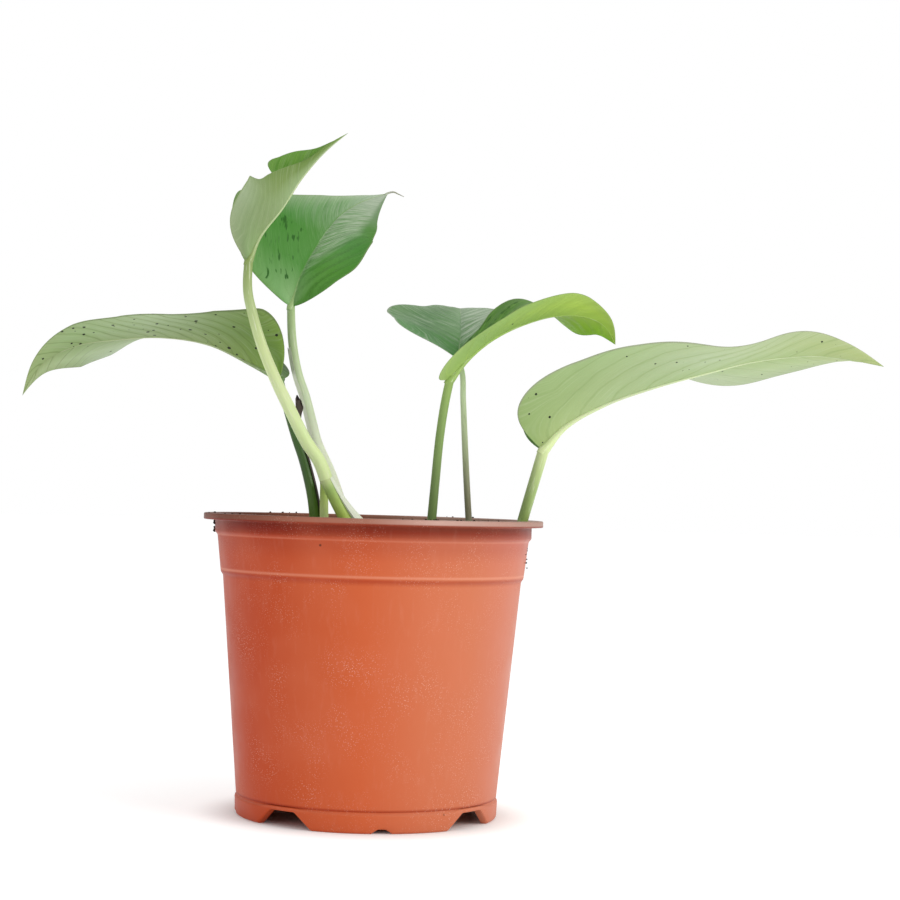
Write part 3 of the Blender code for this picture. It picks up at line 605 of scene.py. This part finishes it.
def makeStalkSkin(name, tones, streak, rough=0.42):
    # living leaf stalk: waxy satin skin, fine pale and dark fibres along it, its green changing with height
    material, add, shader = newMaterial("waxy leaf stalk " + name)
    ahead = add("Attribute", attribute_name="ahead").outputs["Fac"]
    fibre = add("Attribute", attribute_name="fibre").outputs["Vector"]
    stops = [(i / (len(tones) - 1), tone) for i, tone in enumerate(tones)]
    green = add("ValToRGB", links={"Fac": ahead}, stops=stops)
    # 0.6 mm fibres
    lines = add("TexNoise", {"Scale": 1.6, "Detail": 4.0, "Roughness": 0.6}, {"Vector": fibre})
    lineMask = add("MapRange", fromTo(0.56, 0.76, 0, 0.55), {"Value": lines})
    streaked = add("Mix", {7: rgba(streak)}, {6: green, 0: lineMask}, data_type="RGBA")
    soft = add("TexNoise", {"Scale": 0.35}, {"Vector": fibre})   # 3 mm patches
    shade = add("MapRange", fromTo(0.3, 0.7, 0.9, 1.08), {"Value": soft})
    colour = add("HueSaturation", links={"Color": streaked, "Value": shade})
    ribs = add("Bump", {"Strength": 0.35, "Distance": 0.00025}, {"Height": lines})
    connect(shader, {"Roughness": rough, "IOR": 1.42, "Subsurface Weight": 0.12, "Subsurface Scale": 0.002,
                     "Subsurface Radius": (0.6, 0.9, 0.3)}, {"Base Color": colour, "Normal": ribs})
    return material


def ringsAlong(centre, heading, radius, ahead, length, sides, towards=(0, 1, 0)):
    # rings of centre + radius (cos right + sin back), and what their skin reads: how far ahead each point
    # lies and its place, in millimetres, in a bundle of fibres that is drawn out lengthwise
    back = squareTo(heading, towards)
    right = np.cross(back, heading)
    angle = np.arange(sides) * 2 * math.pi / sides
    out = np.cos(angle)[:, None] * right[:, None] + np.sin(angle)[:, None] * back[:, None]
    ahead = np.broadcast_to(ahead[:, None], (len(ahead), sides))
    radius = radius[:, None]
    fibre = [radius * np.cos(angle), radius * np.sin(angle), ahead * length / growth["fibreStretch"]]
    return centre[:, None] + radius[..., None] * out, {"ahead": ahead, "fibre": np.stack(fibre, -1)}


def tube(points, radii, rows, sides, swell=()):
    # rings along the smooth curve, with bell-shaped swellings
    at = np.linspace(0, 1, rows)
    centre, heading = alongCurve(points, at)
    radius = smoothThrough((0, 0.5, 1), radii, at)
    for where, width, more in swell:
        radius = radius + more * np.exp(-((at - where) / width) ** 2)
    return ringsAlong(centre, heading, radius, at, lengthOf(points), sides)


def makeStalk(node, look):
    # a leaf stalk ends in the foot of its blade, where the midrib's tube starts inside it at the same
    # thickness; all but stalk a, which the stem carries, go straight on down into the soil
    name = node.split("_")[-1]
    points = list(look["points"])
    if node.startswith("stalk"):
        points[-1] = leaves[name]["rib"][0]
    if node != "stalk_a":
        start = np.array(points[0], float)
        heading = points[1] - start
        points.insert(0, start - heading / np.linalg.norm(heading) * growth["root"])
    swell = look.get("swell", growth["swell"])
    rings, marks = tube(points, look["radii"], growth["rows"], growth["sides"], swell)
    outside = makeStalkSkin(name, look["tones"].split(), look.get("streak", growth["streak"]),
                            look.get("rough", 0.42))
    settle(skin("fine_" + node, rings + footOf(name), [outside], attributes=marks), node, node)


# leaves

widthStations = (0.0, 0.12, 0.3, 0.5, 0.7, 0.88, 1.0)
angleStations = (0.0, 0.33, 0.67, 1.0)
blade = {"rounding": 0.16, "thickness": 0.5, "rim": 0.06, "baseRows": 30, "rows": 170, "columns": 44,
         "pucker": 0.22, "waves": 3.3, "crease": 1.3}
# Each blade is two halves on a midrib, "rib": "widths" are the half's width at the stations between stalk and
# tip, "angles" its slope in degrees. "upper" says which side of the sheet is the leaf's upper face. Colour
# tables run along the blade in rows, and from one margin over the midrib to the other in columns; a row of
# one colour has it right across. What ends in "Where" says how much of a mark lies at a place, from shares
# along and across.
leaves = {
    "a": {"rib": [(-49.5, 6, 116), (-45.5, 9, 127), (-36.5, 12, 140), (-27.5, 14, 155),
                  (-18.5, 15, 166), (-8.5, 16, 175)], "upper": -1,
          "stations": ((0, 0.12, 0.3, 0.36, 0.43, 0.5, 0.7, 0.88, 1),
                       (0, 0.3, 0.48, 0.54, 0.59, 0.65, 0.72, 0.8, 0.9, 1)),
          "widths": ((12, 22, 30, 28.5, 19.5, 15, 4, 1.5), (7, 9, 9, 13, 21, 17.5, 13, 6, 2)),
          "angles": ((-50, -58, -20, -25), (50, 48, 32, 50)), "lobes": (1, 1), "veins": 11, "sweep": 0.6,
          "under": ("889F70 889F70 88A66C 7A8F64 88956F", "849A6A 849A6A 869A68 869A6C 9AAA88",
                    "849A6A 849A6A 92A87A 768C50 6C8448", "849A6A 849A6A 92A874 6A8444 607C36",
                    "7A8F56 7A8F56 88A068 6C8A3C 68863C"),
          "over": ("7B9F51", "7B9F51 86AA5C 7B9F51", "72A046 6A9836 78A04A",
                   "66963A 5E8A2C 78A04A", "6C8C40"),
          "veinUnder": "B4C29C", "veinOver": "8CB25C", "ribTone": "B9C898", "splash": "A8B690",
          "streaks": 0.45, "showUnder": 0.12, "showOver": 0.2, "ripple": 0.3, "blotch": "4A8020",
          "blotchWhere": lambda at, across: 0.5 * (across < 0)},
    "b": {"rib": [(-30, 17, 100.5), (-26, 21, 116), (-18.5, 28, 132), (-9.5, 35, 145.5),
                  (0.5, 39, 152.5), (12, 39, 156.5)], "upper": 1,
          "stations": ((0, 0.12, 0.3, 0.4, 0.5, 0.7, 0.88, 1), widthStations),
          "widths": ((11, 26, 43, 43.5, 35.5, 11, 2), (13, 18, 24, 23.5, 20.5, 13)),
          "angles": ((-25, -22, 5, -14), (220, 206, 200, 210)), "lobes": (0, 0), "veins": 9, "sweep": 0.85,
          "under": ("8FA878",) * 2,
          # the palest cells of the upper face towards the tip are a painted glare
          "over": ("568A3C 5A923E 98BC84 86B474 6E9E56", "488728 568E38 4A8834 44822C 588C40",
                   "448030 528844 4A8232 468434 62904E", "4C8032 648C56 6A9060 68945A 9CB48E",
                   "7A9270 A9B6A2 C5CFC0 C5CFC0 C5CFC0"),
          "veinUnder": "A9BA90", "veinOver": "7FA86A", "ribTone": "5E9244", "splash": "7CA66A",
          # on this leaf the "silver" colour and where it lies are a painted glare, not variegation
          "silverAndGlare": "B4C2AA", "fineness": 1.7, "streaks": 0.5, "showOver": 0.10, "ripple": 0.15,
          "ribRise": -0.4,
          "silverAndGlareWhere": lambda at, across: np.where(
              across < 0,
              (0.45 + 0.5 * at) * np.clip((np.minimum((at - 0.12) * 1.5, 0.72) + across) * 5, 0, 1),
              0.4 * np.clip((at - 0.45) * 4, 0, 1)),
          "blotch": "285F18",
          "blotchWhere": lambda at, across: 1.0 * ((across > 0.12) & (across < 0.8)
                                                   & (at > 0.1) & (at < 0.45))},
    "c": {"rib": [(-19.4, 17, 66.6), (-32.5, 21, 73), (-52, 22, 81.5), (-72, 19, 84), (-92.5, 14, 82),
                  (-109, 9, 78.5), (-124, 6, 69.5), (-131.5, 4, 55.5)], "turn": -1, "upper": 1,
          "stations": ((0, 0.06, 0.12, 0.3, 0.5, 0.7, 0.88, 1), widthStations),
          "widths": ((28, 31, 33, 32, 33, 22, 5), (18, 27, 33, 36, 25, 6)),
          "angles": ((-20, -70, -72, -30), (75, 72, 104, 135)), "lobes": (0.5, 4), "veins": 13, "sweep": 0.42,
          "under": ("8CA866 84A04C 7A9A3E 5E802E 78983C", "9BAC7C 98AA74 84985A 80995C 89A068",
                    "C8D8BE B4C6A0 90A470 9CB082 AABE92", "98AE7E ACC194 88A068 96B07A 95AB78",
                    "9DAE80 A0B080 9AAA7A 92A36F 94A46F"),
          "over": ("4E7034", "4A6C34", "456532", "55763C"),
          "veinUnder": "6C8048", "veinOver": "7F9C68", "ribTone": "B4C094", "splash": "B6C4A0",
          "showUnder": 0.5, "margin": "66784C", "rim": 0.95, "ripple": 0.25, "speckSize": 0.2,
          "spotWhere": lambda at, across: np.where(across > 0, 0.55, 0.22)},
    "d": {"rib": [(-7.5, 4, 78.5), (-6.5, 22, 88.5), (-6.5, 42, 96.5), (-6.5, 62, 102.5),
                  (-6.5, 77, 106.5), (-6.5, 87, 108.5)], "away": (0, 0, 1), "upper": 1,
          "widths": ((24, 31, 34, 34, 20, 11), (18, 28, 33, 30, 19, 9)),
          "angles": ((144, 166, 166, 170), (30, 26, 12, 12)), "lobes": (5, 5), "veins": 11, "sweep": 0.30,
          "under": ("93A883",) * 2,
          "over": ("6A9A5C 5C9450 4A9038 44843A 508E48", "6E9462 688E5C 548A42 3C7230 568A4A",
                   "7C9A70 769868 5C8A4E 467A3A 689258", "8AA880 86A47C 6C985E 507C44 648E58",
                   "8CA884 88A47E 7A9C6C 7A9C6C 98B08E"),
          "veinUnder": "A9B894", "veinOver": "5A8A50", "ribTone": "5E8C50", "splash": "C2CEBA",
          "silverAndGlare": "B6C6AE", "streaks": 0.6, "showOver": 0.35, "ripple": 0.25, "ribRise": -0.4,
          "margin": "A4AE9A", "striped": 0.4,
          "silverAndGlareWhere": lambda at, across: (0.2 + 0.65 * (across < 0)) * np.clip(at * 6 - 0.5, 0, 1)},
    "e": {"rib": [(6.5, 1, 66.5), (12.5, 1, 74.5), (23.5, 1, 84.5), (38.5, 1, 92.5), (52.5, 1, 96.5),
                  (64.5, 1, 96.5), (72.5, 1, 93.5), (78.5, 1, 84.5)], "upper": -1,
          "stations": ((0, 0.12, 0.2, 0.3, 0.4, 0.5, 0.6, 0.7, 0.88, 1),
                       (0, 0.12, 0.2, 0.3, 0.36, 0.42, 0.5, 0.6, 0.7, 0.88, 1)),
          "widths": ((6, 8, 9, 11, 13.3, 18.3, 20, 18, 6), (10, 12, 12, 14, 19.5, 23.5, 27, 27, 26, 10)),
          "turns": (angleStations, (0, 0.33, 0.52, 0.68, 1)),
          "angles": ((-35, -65, -66, -25), (65, 54, 62, 93, 135)), "lobes": (8, 5), "veins": 10,
          "sweep": 0.30,
          "under": ("9CB66C 94B05C 9AB55E 92AE5C 9CB470", "9CBC70 A0C070 96B865 98BA6A 9CBC6C",
                    "A8CA6A A4C466 98BC5C A6C662 A0C26C", "A4DC38 A6D448 A8C85C B0CE5A A2BE5E",
                    "8CC038 8CBA3C 90B63E 8EAE46 9AB45C"),
          "over": ("3E632A", "4A7A2A 507F32 587F34", "4C7A2C 5A8638 6A9244",
                   "78AC30 7CB034 7FA84C", "6E9C34 6E9C34 82A84C"),
          "veinUnder": "A6C45C", "veinOver": "7FAE4E", "ribTone": "A4C264", "splash": "A9C468",
          "streaks": 0.4, "showUnder": 0.22, "ripple": 0.3, "blotch": "2F5C16", "speckSize": 0.12,
          "spotWhere": lambda at, across: 0.9 * ((np.abs(at - 0.4) < 0.03) & (np.abs(across - 0.25) < 0.16)),
          "blotchWhere": lambda at, across: 0.8 * ((across < 0) & (at < 0.6))},
    "f": {"rib": [(10, -3, 38.5), (17, -1, 47.5), (36, 3, 59.5), (59, 7, 68.5), (82, 9, 75.5),
                  (104, 9, 81.5), (132, 7, 84.5), (161, 5, 80.5)], "upper": -1,
          "widths": ((34, 28, 33, 36, 30, 10), (22, 31, 38, 36, 20, 13)),
          "angles": ((-18, -56, -77, -15), (47, 59, 113, 72)), "lobes": (4, 4), "veins": 10, "sweep": 0.40,
          "under": ("869D62 90A66A A0B274 8CA465 8CA465", "ADBF96 A8BC8E A2B684 9EB27E A2BA84",
                    "B4C59E B0C19C A0B680 B0C29A B0C294", "A4B290 AEC090 A2B67E A8B882 A6B488",
                    "A8B884 A8B480 A8B37D A7B576 ADBA81"),
          "over": ("5F8A45", "5A8541", "5F8A45", "7FA35A"),
          "veinUnder": "8AA266", "veinOver": "8DAE70", "ribTone": "CFDAB0", "splash": "C6D2B0",
          "showUnder": 0.38, "streaks": 0.35, "margin": "8F9082", "ripple": 0.3, "speckSize": 0.12,
          "spotWhere": 0.22},
}


def angleOf(look, side, at):
    return smoothThrough(look.get("turns", (angleStations, angleStations))[side], look["angles"][side], at)


def bladeHalf(look, side, at, out):
    # from the midrib a half reaches width x (cos angle x rising + sin angle x away), set back by its basal
    # lobe; its width follows a quarter circle over the rounded base
    centre, heading = alongCurve(look["rib"], at)
    away = squareTo(heading, look.get("away", (0, 1, 0)))
    rising = np.cross(heading, away) * look.get("turn", 1)
    left = 1 - np.clip(at / blade["rounding"], 0, 1)
    stations = look.get("stations", (widthStations, widthStations))[side]
    width = smoothThrough(stations, (*look["widths"][side], 0), at) * np.sqrt(1 - left**2)
    angle = np.radians(angleOf(look, side, at))
    back = -look["lobes"][side] * np.sin(math.pi * left)
    reach = np.cos(angle)[:, None] * rising + np.sin(angle)[:, None] * away
    step = width[:, None] * reach + back[:, None] * heading
    return centre[:, None] + out[None, :, None] * step[:, None]


def tableColours(table, at, across):
    # linear colours blended between the rows and the columns of a table of hex colours
    cells = [row.split() for row in table]
    last = max(len(row) for row in cells) - 1 or 1
    cells = [row if len(row) > 1 else row * (last + 1) for row in cells]
    colours = np.array([[toLinear(cell) for cell in row] for row in cells])
    row = np.clip(at * (len(table) - 1), 0, len(table) - 1.001)
    column = np.clip((across + 1) / 2 * last, 0, last - 0.001)
    r, c = row.astype(int), column.astype(int)
    fr, fc = (row - r)[..., None], (column - c)[..., None]
    top = colours[r, c] * (1 - fc) + colours[r, c + 1] * fc
    low = colours[r + 1, c] * (1 - fc) + colours[r + 1, c + 1] * fc
    return top * (1 - fr) + low * fr


def makeLeafSkin(name, look, face):
    # pothos blade: a waxy satin cuticle over green flesh; side veins sweep forward from the midrib, with fine
    # streaks between them; the underside is paler and duller, its veins stand out, and old leaves carry dark
    # specks
    upper = face == "over"
    material, add, shader = newMaterial("pothos leaf " + name + (" upper face" if upper else " underside"))
    marks = add("Attribute", attribute_name="vein").outputs["Vector"]
    flow = add("Attribute", attribute_name="flow").outputs["Vector"]
    tint = add("Attribute", attribute_name=face).outputs["Color"]
    silverAndGlare, blotchy, spotty = (add("Attribute", attribute_name=label).outputs["Fac"]
                               for label in ("silverAndGlare", "blotchy", "spotty"))
    part = add("SeparateXYZ", links={0: marks})
    wobble = add("TexNoise", {"Scale": 0.12}, {"Vector": flow})   # the veins wander over 8 mm
    shifted = add("Math", {1: 0.5}, {0: wobble, 2: part}, operation="MULTIPLY_ADD")
    fold = add("Math", {1: 0.5}, {0: shifted}, operation="PINGPONG")
    line = add("MapRange", fromTo(0.015, 0.075, 1, 0),
               {"Value": fold}, interpolation_type="SMOOTHSTEP")
    # streaks 1.1 mm wide, 12 mm long
    drawnOut = add("Mapping", {"Scale": (1.0, 0.09, 1.0)}, {"Vector": flow})
    streaks = add("TexNoise", {"Scale": look.get("fineness", 0.9), "Detail": 5.0, "Roughness": 0.62},
                  {"Vector": drawnOut})
    streakMask = add("MapRange", fromTo(0.48, 0.72, 0, look.get("streaks", 0.5)),
                     {"Value": streaks})
    # 11 mm clouds
    cloud = add("TexNoise", {"Scale": 0.09, "Detail": 3.0, "Roughness": 0.6}, {"Vector": flow})
    cloudMask = add("MapRange", fromTo(0.35, 0.65), {"Value": cloud})
    splash = add("Math", links={0: streakMask, 1: cloudMask}, operation="MULTIPLY")
    base = add("Mix", {7: rgba(look["splash"])}, {6: tint, 0: splash}, data_type="RGBA")
    # silver variegation, and on leaf b a painted glare, breaks into streaks and, on a striped leaf, into
    # bands between the veins
    stripe = look.get("striped", 0.0)
    banded = add("Math", {1: stripe}, {0: fold, 2: streaks}, operation="MULTIPLY_ADD")
    grainFrom = 0.36 + 0.36 * stripe
    silverAndGlareGrain = add("MapRange", fromTo(grainFrom, grainFrom + 0.24), {"Value": banded})
    silverAndGlareMask = add("Math", links={0: silverAndGlare, 1: silverAndGlareGrain}, operation="MULTIPLY")
    withSilverAndGlare = add("Mix", {7: rgba(look.get("silverAndGlare", "A3B89B"))}, {6: base, 0: silverAndGlareMask}, data_type="RGBA")
    # 4 mm blots
    blots = add("TexNoise", {"Scale": 0.24, "Detail": 2.5, "Roughness": 0.55}, {"Vector": flow})
    blotIn = add("MapRange", fromTo(0.57, 0.63), {"Value": blots})
    blotMask = add("Math", links={0: blotchy, 1: blotIn}, operation="MULTIPLY")
    blotted = add("Mix", {7: rgba(look.get("blotch", "2E661C"))}, {6: withSilverAndGlare, 0: blotMask},
                  data_type="RGBA")
    shown = look.get("showOver", 0.22) if upper else look.get("showUnder", 0.4)
    veinMask = add("Math", {1: shown}, {0: line}, operation="MULTIPLY")
    veined = add("Mix", {7: rgba(look["veinOver" if upper else "veinUnder"])}, {6: blotted, 0: veinMask},
                 data_type="RGBA")
    place = add("TexCoord").outputs["Object"]
    dots = add("TexVoronoi", {"Scale": 310.0}, {"Vector": place})   # a cell each 3.2 mm
    dotCell = add("SeparateColor", links={0: dots.outputs["Color"]})
    dotFew = add("Math", links={0: dotCell, 1: spotty}, operation="LESS_THAN")
    dotSize = add("Math", {1: look.get("speckSize", 0.2), 2: 0.06}, {0: dotCell.outputs["Green"]},
                  operation="MULTIPLY_ADD")
    dotIn = add("Math", links={0: dots, 1: dotSize}, operation="LESS_THAN")
    dotMask = add("Math", links={0: dotFew, 1: dotIn}, operation="MULTIPLY")
    specked = add("Mix", {7: rgba("23281A")}, {6: veined, 0: dotMask}, data_type="RGBA")
    edge = add("Math", links={0: part.outputs["Y"]}, operation="ABSOLUTE")
    rim = look.get("rim", 0.965)
    edgeMask = add("MapRange", fromTo(rim, rim + 0.02, 0, 0.6), {"Value": edge})
    colour = add("Mix", {7: rgba(look.get("margin", "7F9160"))}, {6: specked, 0: edgeMask}, data_type="RGBA")
    relief = add("Math", {1: -0.7 if upper else 0.7}, {0: line, 2: streaks}, operation="MULTIPLY_ADD")
    ribs = add("Bump", {"Strength": 0.4, "Distance": 0.0003}, {"Height": relief})
    connect(shader, {"Roughness": 0.42 if upper else 0.55, "IOR": 1.45, "Specular IOR Level": 0.2},
            {"Base Color": colour, "Normal": ribs})
    return material


def bothFaces(over, under):
    # one ring out of a row of the upper sheet and, backwards, the same row of the lower one
    return np.concatenate([over, under[:, -2:0:-1]], axis=1)


def makeLeaf(name, look):
    # two sheets a lens' thickness apart that meet round the margin; they bulge a little between the side
    # veins and ripple near the margin: offset = ripple sin(waves) out^3 + pucker cos(2 pi vein number)
    phi = np.linspace(0, math.pi / 2, blade["baseRows"])
    base = blade["rounding"] * (1 - np.cos(phi))
    at = np.concatenate([base, np.linspace(blade["rounding"], 1, blade["rows"])[1:]])
    at[[0, -1]] = 0.0002, 0.9995
    out = np.linspace(0, 1, blade["columns"]) ** 1.15
    sheet = np.concatenate([bladeHalf(look, 1, at, out)[:, :0:-1], bladeHalf(look, 0, at, out)], axis=1)
    along, across = np.meshgrid(at, np.concatenate([-out[:0:-1], out]), indexing="ij")
    share = np.abs(across)
    normal = np.cross(np.gradient(sheet, axis=0), np.gradient(sheet, axis=1))
    normal /= np.maximum(np.linalg.norm(normal, axis=2), 1e-9)[..., None]
    middle = len(out) - 1
    distance = np.linalg.norm(sheet - sheet[:, middle:middle + 1], axis=2)
    span = np.where(across > 0, distance[:, -1:], distance[:, :1])
    inner = np.clip(span / 10, 0, 1)
    # the side veins' numbers: a vein starts at the midrib and runs forward as it goes out
    forward = look["sweep"] * share**1.25 * np.clip(span / span.max(), 0.15, 1) * np.minimum(along / 0.12, 1)
    number = look["veins"] * (along - forward) + np.where(across > 0, 0.37, 0.0)
    pucker = blade["pucker"] * np.cos(2 * math.pi * number) * np.sin(math.pi * share**0.8) * inner
    waves = np.sin(2 * math.pi * (blade["waves"] * along + 0.31 * np.sign(across)))
    ripple = look["ripple"] * waves * share**3 * inner
    sheet = sheet + normal * (ripple - look["upper"] * pucker)[..., None]
    lens = np.minimum(1, span / 4) * np.sqrt(np.clip(1 - share**10, 0, 1))
    half = blade["thickness"] / 2 * lens + blade["rim"] / 2 * (share < 1)
    crease = 1.3 * half * np.exp(-(distance / blade["crease"]) ** 2)
    over = sheet + normal * (look["upper"] * (half - crease))[..., None]
    under = sheet - normal * (look["upper"] * half)[..., None]
    rings = bothFaces(over, under)

    # what the skin reads: vein number and share across, millimetres along and across, colours and marks
    flat, nothing = number * lengthOf(look["rib"]) / look["veins"], np.zeros_like(number)
    marks = {"vein": np.stack([number, across, nothing], -1),
             "flow": np.stack([flat, distance * np.sign(across), nothing], -1)}
    for face in ("over", "under"):
        opaque = np.ones_like(number)[..., None]
        marks[face] = np.concatenate([tableColours(look[face], along, across), opaque], -1)
    for label, where in (("silverAndGlare", "silverAndGlareWhere"), ("blotchy", "blotchWhere"), ("spotty", "spotWhere")):
        amount = look.get(where, 0.0)
        marks[label] = nothing + (amount(along, across) if callable(amount) else amount)
    marks = {label: bothFaces(grid, grid) for label, grid in marks.items()}
    slots = np.zeros((len(at) - 1, rings.shape[1]), int)
    slots[:, sheet.shape[1] - 1:] = 1
    skins = [makeLeafSkin(name, look, face) for face in ("over", "under")]
    piece = skin("fine_leaf_" + name, rings + footOf(name), skins, attributes=marks, slotOfFace=slots,
                 sharp=75)
    settle(piece, "leaf_" + name, "leaf_" + name)
    makeMidrib(name, look)


def makeMidrib(name, look):
    # a half-sunk round rib under the blade, from the stalk's thickness down to nothing at the tip; "opens" is
    # the mean of both halves' upper normals, each the half's own direction turned a quarter
    at = np.linspace(0, 1, growth["ribRows"]) ** 1.2
    centre, heading = alongCurve(look["rib"], at)
    away = squareTo(heading, look.get("away", (0, 1, 0)))
    rising = np.cross(heading, away) * look.get("turn", 1)
    near, far = (np.radians(angleOf(look, side, at) + 90) for side in (0, 1))
    opens = (np.cos(near) - np.cos(far))[:, None] * rising + (np.sin(near) - np.sin(far))[:, None] * away
    opens *= -look["upper"] * look.get("turn", 1) / np.linalg.norm(opens, axis=1)[:, None]
    start = stalks[name]["radii"][2]
    radius = start * (0.28 + 0.70 * np.exp(-at / 0.07)) * (1 - at) ** 0.7 + 0.10
    centre = centre - opens * (radius * (0.5 - look.get("ribRise", 0)) * (1 - np.exp(-at / 0.05)))[:, None]
    centre = np.concatenate([[centre[0] - heading[0] * 2.0], centre])
    radius = np.concatenate([[start * 0.9], radius])
    heading = np.concatenate([heading[:1], heading])
    rings, marks = ringsAlong(centre, heading, radius, np.linspace(0, 1, len(radius)), lengthOf(look["rib"]),
                              growth["ribSides"], (0, 0, 1) if "away" in look else (0, 1, 0.1))
    tones = [stalks[name]["tones"].split()[-1], look["ribTone"], look["ribTone"], look["veinUnder"]]
    outside = makeStalkSkin("midrib " + name, tones, growth["streak"])
    settle(skin("fine_midrib_" + name, rings + footOf(name), [outside], attributes=marks), "leaf_" + name)


dryTip = {"steps": ((-1.2, 0, -0.5), (0.6, 0, 0.3), (2.6, -0.5, 0.6), (5.0, -1.0, -0.4), (7.6, -1.5, -1.6)),
          "radii": (0.55, 0.35, 0.12), "tones": ("B4BAA8", "A09E8C", "8E8A7C"), "streak": "D8D8CC"}


def makeDryTip(name):
    # the tip has dried to a thin pale thread that curls over
    path = np.array(leaves[name]["rib"][-1]) + dryTip["steps"]
    rings, marks = tube(path, dryTip["radii"], 40, 12)
    outside = makeStalkSkin("dry tip " + name, dryTip["tones"], dryTip["streak"])
    settle(skin("fine_tip_" + name, rings + footOf(name), [outside], attributes=marks), "leaf_" + name)


for name, look in leaves.items():
    makeLeaf(name, look)
makeDryTip("b")
print("leaves grown")

for name, look in stalks.items():
    makeStalk("stalk_" + name, look)
makeStalk("stem_a", stem)
makeStalk("stub", stub)
print("stalks grown")


# sheaths

sheathGrid = {"rows": 60, "columns": 26, "wall": 0.18}
sheaths = {
    "a": {"stalk": stem, "heights": (1.2, 22.0), "edges": (-50, 84), "flare": 2.6, "power": -1.6,
          "paper": "DCE6C8", "fibre": "F0F3E6", "jag": 0.5, "off": 0.02, "fleshy": True},
    "b": {"stalk": stalks["b"], "heights": (2.4, 82.0), "edges": (165, 250), "flare": 0.25, "power": 3.0,
          "paper": "E4E8D6", "fibre": "CDD3B4", "jag": 4.0, "off": 0.08},
    "c": {"stalk": stalks["c"], "heights": (1.6, 56.0), "edges": (-38, 75), "flare": 4.4, "power": 7.0,
          "paper": "43352A", "fibre": "1E150F", "jag": 4.5, "off": 0.35},
}


def makePaper(name, look):
    # the dried sheath of an older leaf: thin matte paper with fine lengthwise ribs
    material, add, shader = newMaterial("dry papery sheath " + name)
    fibre = add("Attribute", attribute_name="fibre").outputs["Vector"]
    lines = add("TexNoise", {"Scale": 2.4, "Detail": 4.0, "Roughness": 0.6}, {"Vector": fibre})
    tone = add("ValToRGB", links={"Fac": lines}, stops=[(0.35, look["paper"]), (0.7, look["fibre"])])
    ribs = add("Bump", {"Strength": 0.6, "Distance": 0.0003}, {"Height": lines})
    connect(shader, {"Roughness": 0.7}, {"Base Color": tone, "Normal": ribs})
    return material


def makeSheath(name, look):
    # a C-shaped wall round the stalk, standing off it by flare x share^power of its height or, with a power
    # below zero, by the share left above; its upper edge is torn, each column's end lower by jag times two
    # sines
    rows, columns = sheathGrid["rows"], sheathGrid["columns"]
    stalk = look["stalk"]
    at = np.linspace(0, 1, 300)
    centre = alongCurve(stalk["points"], at)[0]
    bearing = np.linspace(*look["edges"], columns)
    turn = np.radians(bearing)
    torn = look["jag"] * (0.5 + 0.5 * np.sin(turn * 7 + 1.3)) * (0.6 + 0.4 * np.sin(turn * 19))
    share = np.linspace(0, 1, rows)[:, None]
    low, high = look["heights"]
    heights = low + share * (high - low - torn)
    places = np.interp(heights, centre[:, 2], at).reshape(-1)
    centre, heading = alongCurve(stalk["points"], places)
    back = squareTo(heading, (0, 1, 0))
    right = np.cross(back, heading)
    angle = np.tile(turn, rows)
    snug = smoothThrough((0, 0.5, 1), stalk["radii"], places) + look["off"]
    stand = share ** look["power"] if look["power"] > 0 else (1 - share) ** -look["power"]
    radius = snug + (look["flare"] * stand * (0.75 + 0.25 * np.cos(turn * 2))).reshape(-1)
    radius += 0.10 * np.sin(angle * 9) * np.repeat(stand, columns)
    out = np.cos(angle)[:, None] * right + np.sin(angle)[:, None] * back
    outer, inner = ((centre + reach[:, None] * out).reshape(rows, columns, 3)
                    for reach in (radius + sheathGrid["wall"], snug if look.get("fleshy") else radius))
    rings = np.concatenate([outer, inner[:, ::-1]], axis=1)
    fibre = np.stack([np.broadcast_to(bearing / 14, heights.shape), heights / 40, np.zeros_like(heights)], -1)
    fibre = np.concatenate([fibre, fibre[:, ::-1]], axis=1)
    piece = skin("fine_sheath_" + name, rings + footOf(name), [makePaper(name, look)],
                 attributes={"fibre": fibre}, sharp=60)
    settle(piece, "sheath_" + name, "sheath_" + name)


for name, look in sheaths.items():
    makeSheath(name, look)
print("sheaths made")
